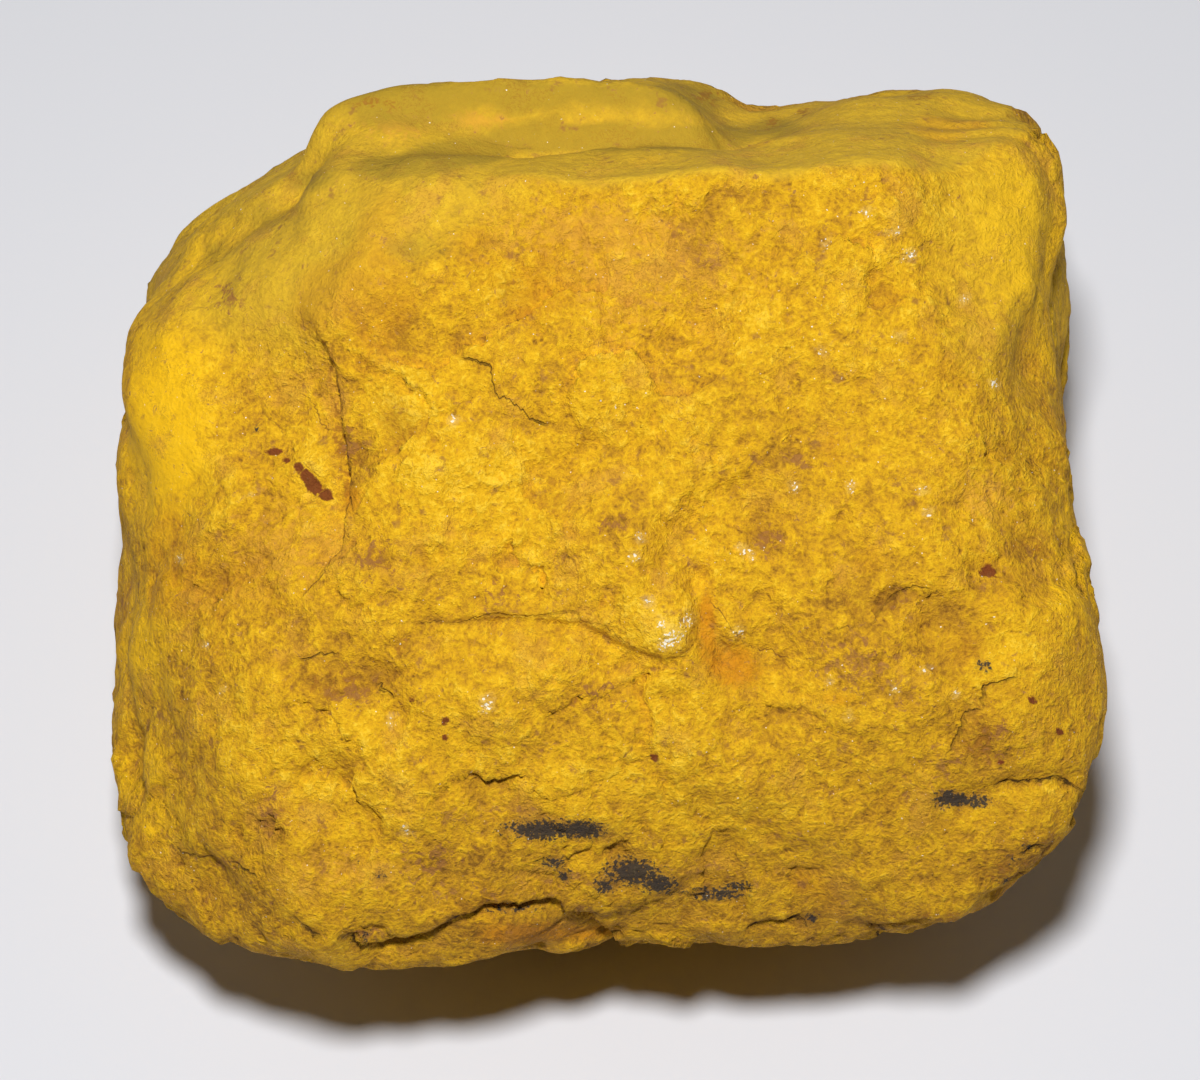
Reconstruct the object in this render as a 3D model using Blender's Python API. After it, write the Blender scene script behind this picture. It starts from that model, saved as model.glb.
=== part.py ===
"""A lump of limonite ochre: one blocky, worn stone of soft yellow earth, resting on its own facet.

The stone is first worked out lying on its back, with its broad face up local +Z and the far edge
of that face towards local +Y. It is then tipped forward onto the facet that it rests on.
The skin is one surface given by its distance from the middle of the stone in every direction:
a block of flat sides with worn edges, joined with a shelf, then swellings, creases and ledges.
The tables hold millimetres and degrees.
"""

import math

import bmesh
import bpy
import numpy as np

MM = 0.001
NODE = "ochre_stone"

# Driving dimensions, in millimetres and degrees.
REST_DISTANCE = 13.5  # from the middle of the stone to the facet that it rests on
TIP = 28.0  # how far the broad face leans forward from level
EYE_DISTANCE = 220.0  # places on the broad face are sighted from this far, square on to it
PATCH_QUADS = 28  # quads along each side of the six patches that make the skin
HALVINGS = 30  # steps of the search along a line of sight

# Each side of the block: degrees round the outline (0 right, 90 far, 180 left, 270 near),
# degrees up towards the broad face, and its distance from the middle.
BLOCK = {
    "broad face": (265, 88, 15.5),
    "upper face": (84, 83, 16.3),
    "near slope of the broad face": (276, 58, 17.6),
    "near side": (274, -4, 18.4),
    "near left side": (257, -2, 22.0),
    "left side": (177, 4, 22.0),
    "left shoulder": (186, 44, 20.8),
    "far left shoulder": (125, 40, 20.6),
    "far left bevel": (123, 4, 21.7),
    "far left corner": (150, 8, 23.5),
    "far side": (87, -2, 20.2),
    "back wall": (90, -30, 19.0),
    "lower back": (95, -58, 18.2),
    "right side": (0, 3, 20.3),
    "right shoulder": (12, 42, 21.8),
    "near right flank": (312, -6, 22.7),
    "underside": (262, -63, 13.9),
    "far belly": (90, -86, 15.6),
    "left belly": (214, -62, 15.9),
    "right belly": (326, -62, 16.2),
    "under right": (350, -44, 18.8),
}
BLOCK_POWER = 16.0  # how tight the worn edges between the sides are

# Fresher breaks across the block, which keep a tighter edge: given in the same way.
BREAKS = {
    "back slope": (90, 21, 18.9),
    "near break": (262, -34, 16.4),
    "lower left break": (205, -38, 18.4),
}
BREAK_POWER = 44.0

# A lower layer of the stone reaches out further than the block, along the back.
SHELF = {
    "top of the shelf": (270, 83, 5.2),
    "shelf near side": (270, 10, 12.0),
    "shelf left side": (195, 0, 15.0),
    "shelf left end": (135, 2, 21.5),
    "shelf back": (92, -4, 19.5),
    "shelf right end": (40, 8, 16.4),
    "shelf right side": (338, -14, 13.0),
    "shelf underside": (90, -62, 17.0),
    "shelf front underside": (270, -62, 12.0),
}
SHELF_POWER = 14.0
UNION_POWER = 34.0  # how tight the inner corner is where the shelf leaves the block

# Swellings and hollows of the visible side: sideways and up as sighted, radius, height.
SIGHTED_LUMPS = {
    "near right lobe": (20.2, -6.6, 5.0, 1.9),
    "near right corner": (20.4, -11.2, 2.2, 0.9),
    "near right edge": (15.2, -16.8, 1.6, 0.4),
    "far right corner": (19.2, 14.2, 3.0, 0.7),
    "far edge": (12.4, 18.6, 2.2, 0.5),
    "notch beside the shelf": (7.4, 19.2, 1.6, -0.6),
    "end of the rim": (-10.8, 18.2, 1.6, 0.8),
    "foot of the rim": (-14.4, 15.8, 1.6, -0.4),
    "far left edge": (-20.2, 8.6, 2.8, 1.1),
    "left lobe": (-20.2, 3.2, 3.2, -0.1),
    "left hollow": (-14.9, 3.6, 3.0, -1.2),
    "left dish": (-14.6, -1.2, 3.2, -0.7),
    "near left swell": (-16.0, -9.6, 5.0, 0.6),
    "nodule": (2.5, -4.7, 1.6, 0.9),
    "near swell": (-2.2, -9.4, 6.0, 0.5),
    "tan dish": (-0.4, 10.6, 3.6, -0.5),
    "far right swell": (14.6, 9.0, 5.0, 0.5),
    "right hollow": (17.8, -1.6, 2.2, -0.8),
    "near right hollow": (13.6, -9.6, 3.0, -0.6),
    "far left swell": (-9.6, 13.8, 5.0, 0.3),
    "near left corner": (-12.4, -18.2, 3.6, 1.1),
    "near left cut": (-18.6, -16.4, 1.6, -0.4),
    "near edge, left": (-6.0, -18.4, 2.4, 0.8),
    "near edge swell": (9.8, -18.0, 3.6, 0.5),
    "near edge hollow": (1.6, -18.2, 3.0, -0.4),
}

# Swellings and hollows of the other sides: degrees round, degrees up, radius, height.
FACED_LUMPS = {
    "back scar": (70, -28, 6.0, -1.2),
    "back left swell": (116, -40, 5.0, 0.8),
    "back right swell": (30, -18, 5.0, 0.8),
    "left dent": (196, -20, 4.0, -0.8),
    "right dent": (352, -26, 4.5, -0.9),
    "undercut hollow": (282, -30, 5.0, -0.8),
    "under scar": (60, -70, 5.0, -0.8),
    "near left corner cut": (222, 6, 2.4, -0.8),
}

# Creases sighted on the broad face: width, depth, then the places that they run through.
CREASES = {
    "trough behind the ridge": (1.5, 0.9, [(-9.6, 17.0), (-6.0, 17.6), (-0.6, 17.8), (4.6, 17.7),
                                           (6.8, 18.2)]),
    "far right groove": (1.1, 0.5, [(8.9, 14.0), (7.0, 12.5), (6.3, 11.2), (4.7, 9.4), (2.6, 8.2)]),
    "gully by the nodule": (0.7, 0.6, [(4.2, -3.0), (4.7, -5.2), (5.6, -6.4)]),
    "right side crack": (0.6, 0.7, [(15.6, -12.4), (18.6, -11.8), (20.4, -11.6)]),
    "right dip": (0.9, 0.4, [(18.5, 11.0), (20.2, 11.4)]),
}

# Ledges sighted on the broad face: how far the stone drops on the right-hand side as one walks
# the route, how far away the drop has faded out, then the places that the edge runs through.
LEDGES = {
    "hollow edge": (1.1, 3.0, [(-14.1, 10.1), (-12.9, 8.0), (-12.4, 4.8), (-12.0, 1.0),
                               (-12.3, -1.1), (-14.1, -3.5)]),
    "near crack": (1.0, 2.4, [(-20.0, -14.6), (-18.0, -15.6), (-15.8, -16.4), (-12.9, -18.2),
                              (-10.5, -19.6), (-7.8, -18.8), (-5.2, -17.4), (-3.6, -17.4),
                              (-0.9, -18.2), (3.2, -19.2)]),
    "nodule edge": (0.5, 1.8, [(-8.2, -4.4), (-4.0, -4.4), (-1.4, -4.6), (0.8, -5.8), (2.6, -6.4),
                               (4.6, -5.7)]),
    "near right ledge": (0.7, 2.4, [(18.8, -6.7), (17.4, -7.6), (16.0, -9.4), (15.0, -10.8)]),
    "middle ledge": (0.3, 3.0, [(15.6, -3.4), (14.0, -3.2), (12.6, -4.0), (11.6, -4.8), (9.4, -5.6)]),
}

# Ledges of the other sides: the same, with the route in degrees round and degrees up.
FACED_LEDGES = {
    "back ledge": (0.9, 3.0, [(20, -16), (45, -14), (70, -20), (95, -18), (120, -26), (150, -22)]),
    "left side ledge": (0.7, 2.5, [(150, -36), (170, -30), (195, -34), (215, -24), (240, -26)]),
    "right side ledge": (0.6, 2.5, [(300, -34), (320, -32), (340, -28), (0, -18), (15, -22)]),
    "under ledge": (0.8, 4.0, [(40, -50), (75, -52), (110, -44), (140, -50)]),
}
LEDGE_EDGE = 1.1  # width of the step itself
LEDGE_TAPER = 3.0  # a ledge grows from nothing over this length at each end

# The stone is laid down in thin layers, level with the broad face, which show round its sides.
LAYER_SPACING = 3.1
LAYER_DEPTH = 0.32
LAYER_WAVE = (14.0, 1.1)  # the layers wave: wavelength and height
LAYER_FACE = 0.8  # the share of a layer that juts out further and further before it steps back
LAYER_PATCH = 12.0  # the layers show in patches of about this size

# Plain unevenness of the whole skin: wavelength and height of each size of wave.
UNEVENNESS = ((17.0, 0.22), (8.0, 0.20), (4.2, 0.12))
WAVES_IN_A_SUM = 20


def direction(around, up):
    """The unit vector that points so many degrees round the outline and so many up."""
    around, up = np.radians(around), np.radians(up)
    return np.array([np.cos(around) * np.cos(up), np.sin(around) * np.cos(up), np.sin(up)])


def facing_sides(towards, sides):
    """How squarely each direction meets each side, over the side's distance from the middle."""
    normals = np.array([direction(around, up) for around, up, _ in sides.values()])
    distances = np.array([distance for _, _, distance in sides.values()])
    return np.clip(towards @ normals.T, 0.0, None) / distances


def power_mean(amounts, power):
    """The largest of each row, drawn up a little where others come close to it."""
    largest = amounts.max(1)
    return largest * ((amounts / largest[:, None]) ** power).sum(1) ** (1.0 / power)


def worn_block(towards):
    """Distance to the surface of the block and its shelf together, in each direction.

    A flat-sided block ends where the largest of its sides' facing amounts is one. Taking a power
    mean instead of the largest rounds every edge: a high power leaves a tight one.
    """
    worn = power_mean(facing_sides(towards, BLOCK), BLOCK_POWER)
    broken = np.column_stack([worn, facing_sides(towards, BREAKS)])
    block = 1.0 / power_mean(broken, BREAK_POWER)
    shelf = 1.0 / power_mean(facing_sides(towards, SHELF), SHELF_POWER)
    return power_mean(np.column_stack([block, shelf]), UNION_POWER)


def sighted(x, y):
    """The place where the line of sight through (x, y) on the middle plane meets the block."""
    eye = np.array([0.0, 0.0, EYE_DISTANCE])
    aim = np.array([x, y, 0.0])
    outside, inside = 0.8, 1.0  # shares of the way from the eye to the middle plane
    for _ in range(HALVINGS):
        middle = (outside + inside) / 2
        place = eye + middle * (aim - eye)
        length = np.linalg.norm(place)
        if length > worn_block(place[None] / length)[0]:
            outside = middle
        else:
            inside = middle
    return eye + inside * (aim - eye)


def faced(around, up):
    """The place on the block that a line from the middle in this direction comes out at."""
    towards = direction(around, up)
    return towards * worn_block(towards[None])[0]


def lump(places, centre, radius, height):
    """A bell-shaped swelling, or a hollow where the height is negative."""
    return height * np.exp(-((places - centre) ** 2).sum(1) / (2 * radius**2))


def follow(places, route):
    """Of each place: its distance from the route, which side it is on, and how near an end."""
    steps = np.diff(route, axis=0)
    lengths = np.linalg.norm(steps, axis=1)
    starts = np.concatenate([[0.0], np.cumsum(lengths)])
    away = np.full(len(places), np.inf)
    side = np.ones(len(places))
    from_end = np.zeros(len(places))
    for start, step, length, passed in zip(route, steps, lengths, starts):
        along = np.clip((places - start) @ step / length**2, 0, 1)
        offset = places - start - along[:, None] * step
        distance = np.linalg.norm(offset, axis=1)
        nearer = distance < away
        away = np.where(nearer, distance, away)
        right = (np.cross(step, places) * offset).sum(1)
        side = np.where(nearer, np.sign(right), side)
        walked = passed + along * length
        from_end = np.where(nearer, np.minimum(walked, starts[-1] - walked), from_end)
    return away, side, from_end


def smooth(amount):
    """An even S-shaped rise from 0 to 1."""
    amount = np.clip(amount, 0, 1)
    return amount * amount * (3 - 2 * amount)


def crease(places, route, width, depth):
    """A groove with a bell-shaped section along a route."""
    away, _, _ = follow(places, route)
    return -depth * np.exp(-((away / width) ** 2))


def ledge(places, route, drop, fade):
    """A step along a route: the right-hand side lies lower, and climbs back with distance."""
    away, side, from_end = follow(places, route)
    stepped = smooth(0.5 + side * away / LEDGE_EDGE)
    return -drop * smooth(from_end / LEDGE_TAPER) * stepped * np.exp(-away / fade)


def unevenness(places, wavelength, seed):
    """A sum of sine waves of about one wavelength that run in random directions."""
    random = np.random.default_rng(seed)
    headings = random.normal(size=(WAVES_IN_A_SUM, 3))
    headings /= np.linalg.norm(headings, axis=1, keepdims=True)
    headings *= 2 * math.pi / wavelength * random.uniform(0.7, 1.3, (WAVES_IN_A_SUM, 1))
    phases = random.uniform(0, 2 * math.pi, WAVES_IN_A_SUM)
    return np.sin(places @ headings.T + phases).sum(1) * math.sqrt(2 / WAVES_IN_A_SUM)


def layers(places, towards):
    """Steps of the bedding round the sides: each layer juts out at its top and is worn back below."""
    wavelength, height = LAYER_WAVE
    level = places[:, 2] + height * unevenness(places, wavelength, 5)
    share = (level / LAYER_SPACING) % 1.0
    profile = smooth(share / LAYER_FACE) - smooth((share - LAYER_FACE) / (1 - LAYER_FACE)) - 0.5
    on_the_side = smooth(1.3 - 1.8 * np.abs(towards[:, 2]))
    patchy = smooth(0.5 + 0.6 * unevenness(places, LAYER_PATCH, 6))
    return LAYER_DEPTH * profile * on_the_side * patchy


def relief(towards):
    """The skin's height above the worn block, in each direction."""
    places = towards * worn_block(towards)[:, None]
    height = layers(places, towards)
    for x, y, radius, amount in SIGHTED_LUMPS.values():
        height += lump(places, sighted(x, y), radius, amount)
    for around, up, radius, amount in FACED_LUMPS.values():
        height += lump(places, faced(around, up), radius, amount)
    for width, depth, route in CREASES.values():
        height += crease(places, np.array([sighted(x, y) for x, y in route]), width, depth)
    for drop, fade, route in LEDGES.values():
        height += ledge(places, np.array([sighted(x, y) for x, y in route]), drop, fade)
    for drop, fade, route in FACED_LEDGES.values():
        height += ledge(places, np.array([faced(around, up) for around, up in route]), drop, fade)
    for seed, (wavelength, amount) in enumerate(UNEVENNESS):
        height += amount * unevenness(places, wavelength, seed)
    return height


def stone_points(towards):
    """Places on the finished skin, cut flat where the stone rests."""
    radius = worn_block(towards) + relief(towards)
    down = direction(270, TIP - 90)
    facing_down = np.maximum(towards @ down, 1e-6)
    return towards * np.minimum(radius, REST_DISTANCE / facing_down)[:, None]


def tipped(places):
    """The places turned forward about the sideways axis, with the resting facet at height zero."""
    turn = math.radians(TIP)
    x, y, z = places.T
    level = y * math.sin(turn) + z * math.cos(turn) + REST_DISTANCE
    level[level < 1e-6] = 0.0
    return np.stack([x, y * math.cos(turn) - z * math.sin(turn), level], 1)


def make_skin():
    """A cube cut into even squares and blown up onto the stone, one closed mesh."""
    skin = bmesh.new()
    bmesh.ops.create_cube(skin, size=2.0)
    bmesh.ops.subdivide_edges(skin, edges=skin.edges[:], cuts=PATCH_QUADS - 1, use_grid_fill=True)
    mesh = bpy.data.meshes.new(NODE)
    skin.to_mesh(mesh)
    skin.free()
    return mesh


def shape_skin(mesh):
    """Moves every point of the cube out to the stone, centred over the origin."""
    points = np.empty(len(mesh.vertices) * 3)
    mesh.vertices.foreach_get("co", points)
    even = np.tan(points.reshape(-1, 3) * math.pi / 4)
    towards = even / np.linalg.norm(even, axis=1, keepdims=True)
    places = tipped(stone_points(towards))
    middle = (places.min(0) + places.max(0)) / 2
    places -= [middle[0], middle[1], 0.0]
    mesh.vertices.foreach_set("co", (places * MM).ravel())
    mesh.update()


def ochre_earth():
    """Dull, strong yellow earth."""
    material = bpy.data.materials.new("ochre_earth")
    material.use_nodes = True
    finish = material.node_tree.nodes["Principled BSDF"]
    finish.inputs["Base Color"].default_value = (0.68, 0.38, 0.03, 1.0)
    finish.inputs["Roughness"].default_value = 0.85
    finish.inputs["Metallic"].default_value = 0.0
    return material


def clear_scene():
    for thing in list(bpy.data.objects):
        bpy.data.objects.remove(thing)


def main():
    clear_scene()
    mesh = make_skin()
    shape_skin(mesh)
    mesh.materials.append(ochre_earth())
    stone = bpy.data.objects.new(NODE, mesh)
    bpy.context.scene.collection.objects.link(stone)


main()
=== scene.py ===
# %% [markdown]
# # A lump of limonite ochre
# Limonite ochre is a soft yellow earth: iron rust and clay laid down in thin layers. The real
# lump is one piece, broken off a bed, worn at its edges and stained brown, red and black. It
# could be sculpted by hand or scanned. Here it is worked out from formulas, because a formula
# can be as fine as the render needs, it gives the same stone every time, and a reader can
# change one number and see what it does.
# The CAD model gives the stone's place and size, and it is loaded before anything is made.

# %% Load the frame and the CAD stone
import itertools
import math

import bpy
import numpy as np
from mathutils import Matrix, Vector


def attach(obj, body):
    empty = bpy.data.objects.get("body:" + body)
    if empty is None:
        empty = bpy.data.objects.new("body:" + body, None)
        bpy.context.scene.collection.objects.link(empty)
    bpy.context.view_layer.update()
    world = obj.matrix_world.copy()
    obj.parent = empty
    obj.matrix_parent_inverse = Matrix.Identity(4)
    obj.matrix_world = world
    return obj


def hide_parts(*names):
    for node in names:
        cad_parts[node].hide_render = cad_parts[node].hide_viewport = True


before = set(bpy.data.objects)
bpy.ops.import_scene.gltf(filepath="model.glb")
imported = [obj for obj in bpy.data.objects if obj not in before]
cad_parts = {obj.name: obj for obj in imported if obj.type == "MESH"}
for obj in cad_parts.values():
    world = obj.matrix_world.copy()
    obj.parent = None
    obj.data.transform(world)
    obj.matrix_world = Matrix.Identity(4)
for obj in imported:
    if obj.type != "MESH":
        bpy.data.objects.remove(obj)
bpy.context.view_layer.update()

# %% [markdown]
# ## The block
# The real lump is a block with about twenty flat sides, and its edges are worn round. It could
# be a cube with many cuts and a bevel on each edge, but bevels of one width look machined. Here
# the skin is a distance from the middle of the stone in every direction. A flat-sided block
# ends where the side that is faced most squarely is met, and a power mean takes the place of
# "most squarely": a low power wears the edges round, and a high one keeps a fresh break tight.

# %% The sides of the block
# Degrees round the outline (0 right, 90 far, 180 left, 270 near), degrees up, millimetres.
BLOCK = {
    "broad face": (265, 88, 15.5),
    "upper face": (84, 83, 16.3),
    "near slope of the broad face": (276, 58, 17.6),
    "near side": (274, -4, 18.4),
    "near left side": (257, -2, 22.0),
    "left side": (177, 4, 22.0),
    "left shoulder": (186, 44, 20.8),
    "far left shoulder": (125, 40, 20.6),
    "far left bevel": (123, 4, 21.7),
    "far left corner": (150, 8, 23.5),
    "far side": (87, -2, 20.2),
    "back wall": (90, -30, 19.0),
    "lower back": (95, -58, 18.2),
    "right side": (0, 3, 20.3),
    "right shoulder": (12, 42, 21.8),
    "near right flank": (312, -6, 22.7),
    "underside": (262, -63, 13.9),
    "far belly": (90, -86, 15.6),
    "left belly": (214, -62, 15.9),
    "right belly": (326, -62, 16.2),
    "under right": (350, -44, 18.8),
}
BREAKS = {
    "back slope": (90, 21, 18.9),
    "near break": (262, -34, 16.4),
    "lower left break": (205, -38, 18.4),
}
SHELF = {
    "top of the shelf": (270, 83, 5.2),
    "shelf near side": (270, 10, 12.0),
    "shelf left side": (195, 0, 15.0),
    "shelf left end": (135, 2, 21.5),
    "shelf back": (92, -4, 19.5),
    "shelf right end": (40, 8, 16.4),
    "shelf right side": (338, -14, 13.0),
    "shelf underside": (90, -62, 17.0),
    "shelf front underside": (270, -62, 12.0),
}
print(len(BLOCK), "worn sides,", len(BREAKS), "fresh breaks,", len(SHELF), "sides of the shelf")

# %% The worn block, as a distance in every direction
BLOCK_POWER = 16.0
BREAK_POWER = 60.0
SHELF_POWER = 14.0
UNION_POWER = 34.0


def direction(around, up):
    """The unit vector that points so many degrees round the outline and so many up."""
    around, up = np.radians(around), np.radians(up)
    return np.array([np.cos(around) * np.cos(up), np.sin(around) * np.cos(up), np.sin(up)])


def facing_sides(towards, sides):
    """Cosine of the angle between each direction and each side, over the side's distance."""
    normals = np.array([direction(around, up) for around, up, _ in sides.values()])
    distances = np.array([distance for _, _, distance in sides.values()])
    return np.clip(towards @ normals.T, 0.0, None) / distances


def power_mean(amounts, power):
    """The largest of each row times the root of the sum of powers of the shares of it."""
    largest = amounts.max(1)
    return largest * ((amounts / largest[:, None]) ** power).sum(1) ** (1.0 / power)


def worn_block(towards):
    """One over the power mean of the facing amounts, for the block and for its shelf.

    The further out of the two is the surface, again by a power mean, which fills the corner
    where the shelf leaves the block.
    """
    worn = power_mean(facing_sides(towards, BLOCK), BLOCK_POWER)
    broken = np.column_stack([worn, facing_sides(towards, BREAKS)])
    block = 1.0 / power_mean(broken, BREAK_POWER)
    shelf = 1.0 / power_mean(facing_sides(towards, SHELF), SHELF_POWER)
    return power_mean(np.column_stack([block, shelf]), UNION_POWER)


print("straight up the block reaches", worn_block(direction(0, 90)[None]).round(2), "mm")

# %% [markdown]
# ## The skin's grid
# A ball of points is needed to carry the distances. A globe with poles bunches its points where
# they aren't wanted, so six square grids of a cube are blown up instead: every grid is a plain
# function of two parameters, and the six share their edges. All six are turned askew, because
# rows of squares that run straight across the view would show in the fine relief. The grid is
# drawn a little tighter on the broad face, where the finest marks are.

# %% Six square grids of directions, joined along their edges
GRID = 126  # squares along each side of a grid
TIGHTER = 0.72  # how close the points of the broad face are drawn together
ASKEW = 31.0  # degrees that the grids are turned about the upright axis


def cube_grid(count):
    """Directions of the six faces of a cube, with the squares between them.

    With u and v from -1 to 1, a point is the face's normal plus tan(45 degrees u) of one side
    and tan(45 degrees v) of the other, which spaces the points evenly in angle.
    """
    steps = np.tan(np.linspace(-math.pi / 4, math.pi / 4, count + 1))
    u, v = np.meshgrid(steps, steps, indexing="ij")
    axes = np.eye(3)
    points, squares = [], []
    corner = np.arange((count + 1) ** 2).reshape(count + 1, count + 1)
    square = np.stack([corner[:-1, :-1], corner[1:, :-1], corner[1:, 1:], corner[:-1, 1:]], -1)
    for first, second in ((0, 1), (1, 2), (2, 0), (1, 0), (2, 1), (0, 2)):
        normal = np.cross(axes[first], axes[second])
        face = normal + u[..., None] * axes[first] + v[..., None] * axes[second]
        squares.append(square.reshape(-1, 4) + len(points) * corner.size)
        points.append(face.reshape(-1, 3))
    points, squares = np.concatenate(points), np.concatenate(squares)
    points /= np.linalg.norm(points, axis=1, keepdims=True)
    _, kept, place = np.unique(points.round(6), axis=0, return_index=True, return_inverse=True)
    return points[kept], place.reshape(-1)[squares]


def turned_askew(points, degrees):
    """x cos - y sin, x sin + y cos and z: the points turned about the upright axis."""
    x, y, z = points.T
    cos, sin = np.cos(math.radians(degrees)), np.sin(math.radians(degrees))
    return np.stack([x * cos - y * sin, x * sin + y * cos, z], 1)


def drawn_together(points, share):
    """Each direction turned towards straight up: tan of half its angle, times the share."""
    half = np.arctan2(np.linalg.norm(points[:, :2], axis=1), points[:, 2]) / 2
    turned = 2 * np.arctan(share * np.tan(half))
    flat = points[:, :2] / np.maximum(np.linalg.norm(points[:, :2], axis=1), 1e-9)[:, None]
    return np.column_stack([flat * np.sin(turned)[:, None], np.cos(turned)])


towards, squares = cube_grid(GRID)
towards = drawn_together(turned_askew(towards, ASKEW), TIGHTER)
print(len(towards), "points and", 2 * len(squares), "triangles")

# %% [markdown]
# ## Where things are on the stone
# Marks are given by where they are seen: sideways and up, in millimetres, on a plane through
# the middle of the stone that faces the camera. The line of sight to such a spot is followed
# until it meets the block, by halving the gap between a share that is still outside and one
# that is inside. Marks on the hidden sides are given by degrees round and up.

# %% From a sighting to a place on the block
EYE_DISTANCE = 220.0
HALVINGS = 30


def sighted(spots):
    """Eye plus share times (spot minus eye), with the share at which it meets the block."""
    eye = np.array([0.0, 0.0, EYE_DISTANCE])
    aim = np.column_stack([np.asarray(spots, float), np.zeros(len(spots))])
    outside, inside = np.full(len(spots), 0.8), np.full(len(spots), 1.0)
    for _ in range(HALVINGS):
        middle = (outside + inside) / 2
        place = eye + middle[:, None] * (aim - eye)
        length = np.linalg.norm(place, axis=1)
        beyond = length > worn_block(place / length[:, None])
        outside, inside = np.where(beyond, middle, outside), np.where(beyond, inside, middle)
    return eye + inside[:, None] * (aim - eye)


def faced(spots):
    """Each direction, given in degrees round and up, times the block's distance there."""
    heading = np.array([direction(around, up) for around, up in spots])
    return heading * worn_block(heading)[:, None]


places = towards * worn_block(towards)[:, None]
print("the middle of the broad face lies", sighted([(0, 0)])[0, 2].round(1), "mm up")

# %% [markdown]
# ## Swellings, hollows, creases and ledges
# The broad face of the real stone isn't flat. It swells and dips by a millimetre or so, layers
# have split off it and left ledges, and grooves run between them. Each could be sculpted with a
# brush. A bell-shaped curve round a point, or along a route, is the same thing as a formula.

# %% Swellings and hollows
# Sideways, up, radius and height in millimetres, as sighted.
SWELLINGS = {
    "near right lobe": (20.2, -6.6, 5.0, 1.9),
    "near right corner": (20.4, -11.2, 2.2, 0.9),
    "near right edge": (15.2, -16.8, 1.6, 0.4),
    "far right corner": (19.2, 14.2, 3.0, 0.7),
    "far edge": (12.4, 18.6, 2.2, 0.5),
    "notch beside the shelf": (7.4, 19.2, 1.6, -0.6),
    "end of the rim": (-10.8, 18.2, 1.6, 0.8),
    "foot of the rim": (-14.4, 15.8, 1.6, -0.4),
    "far left edge": (-20.2, 8.6, 2.8, 1.1),
    "left lobe": (-20.2, 3.2, 3.2, -0.1),
    "left hollow": (-14.9, 3.6, 3.0, -1.2),
    "left dish": (-14.6, -1.2, 3.2, -0.7),
    "near left swell": (-16.0, -9.6, 5.0, 0.6),
    "nodule": (2.5, -4.7, 1.6, 0.9),
    "near swell": (-2.2, -9.4, 6.0, 0.5),
    "tan dish": (-0.4, 10.6, 3.6, -0.5),
    "far right swell": (14.6, 9.0, 5.0, 0.5),
    "right hollow": (17.8, -1.6, 2.2, -0.8),
    "near right hollow": (13.6, -9.6, 3.0, -0.6),
    "far left swell": (-9.6, 13.8, 5.0, 0.3),
    "near left corner": (-12.4, -18.2, 3.6, 1.1),
    "near left cut": (-18.6, -16.4, 1.6, -0.4),
    "near edge, left": (-6.0, -18.4, 2.4, 0.8),
    "near edge swell": (9.8, -18.0, 3.6, 0.5),
    "near edge hollow": (1.6, -18.2, 3.0, -0.4),
}
# Degrees round, degrees up, radius and height, on the hidden sides.
HIDDEN_SWELLINGS = {
    "back scar": (70, -28, 6.0, -1.2),
    "back left swell": (116, -40, 5.0, 0.8),
    "back right swell": (30, -18, 5.0, 0.8),
    "left dent": (196, -20, 4.0, -0.8),
    "right dent": (352, -26, 4.5, -0.9),
    "undercut hollow": (282, -30, 5.0, -0.8),
    "under scar": (60, -70, 5.0, -0.8),
    "near left corner cut": (222, 6, 2.4, -0.8),
}


def lump(points, centre, radius, height):
    """Height times e to the minus squared distance over twice the squared radius."""
    return height * np.exp(-((points - centre) ** 2).sum(1) / (2 * radius**2))


centres = np.concatenate([sighted([row[:2] for row in SWELLINGS.values()]),
                          faced([row[:2] for row in HIDDEN_SWELLINGS.values()])])
sizes = [row[2:] for table in (SWELLINGS, HIDDEN_SWELLINGS) for row in table.values()]


def swellings(points):
    """The sum of all the bells."""
    return sum(lump(points, centre, *size) for centre, size in zip(centres, sizes))


swollen = swellings(places)
print("swellings reach from", swollen.min().round(2), "to", swollen.max().round(2), "mm")

# %% [markdown]
# ## Aiming again
# A swelling pushes the marks on it outwards, so they would be seen too far out. Each sighting is
# therefore corrected by the amount that it is thrown off, three times over, until the mark is
# seen on the swollen stone where it is seen on the real one.

# %% A sighting corrected for the swellings
AIMS = 3
FARTHEST_CORRECTION = 0.5  # millimetres in one go


def as_seen(points):
    """Sideways and up, times the eye's distance over the way from the eye to the point."""
    return points[:, :2] * (EYE_DISTANCE / (EYE_DISTANCE - points[:, 2]))[:, None]


def aimed(spots):
    """The place sighted at the spot plus all corrections, each the spot less where it is seen."""
    wanted = np.asarray(spots, float)
    aim = wanted.copy()
    for _ in range(AIMS):
        place = sighted(aim)
        length = np.linalg.norm(place, axis=1)
        off = wanted - as_seen(place * (1 + swellings(place) / length)[:, None])
        aim += np.clip(off, -FARTHEST_CORRECTION, FARTHEST_CORRECTION)
    return sighted(aim)


moved = aimed([(-13, 4)]) - sighted([(-13, 4)])
print("the left hollow moves an aim by", moved.round(2)[0, :2], "mm")

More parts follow.
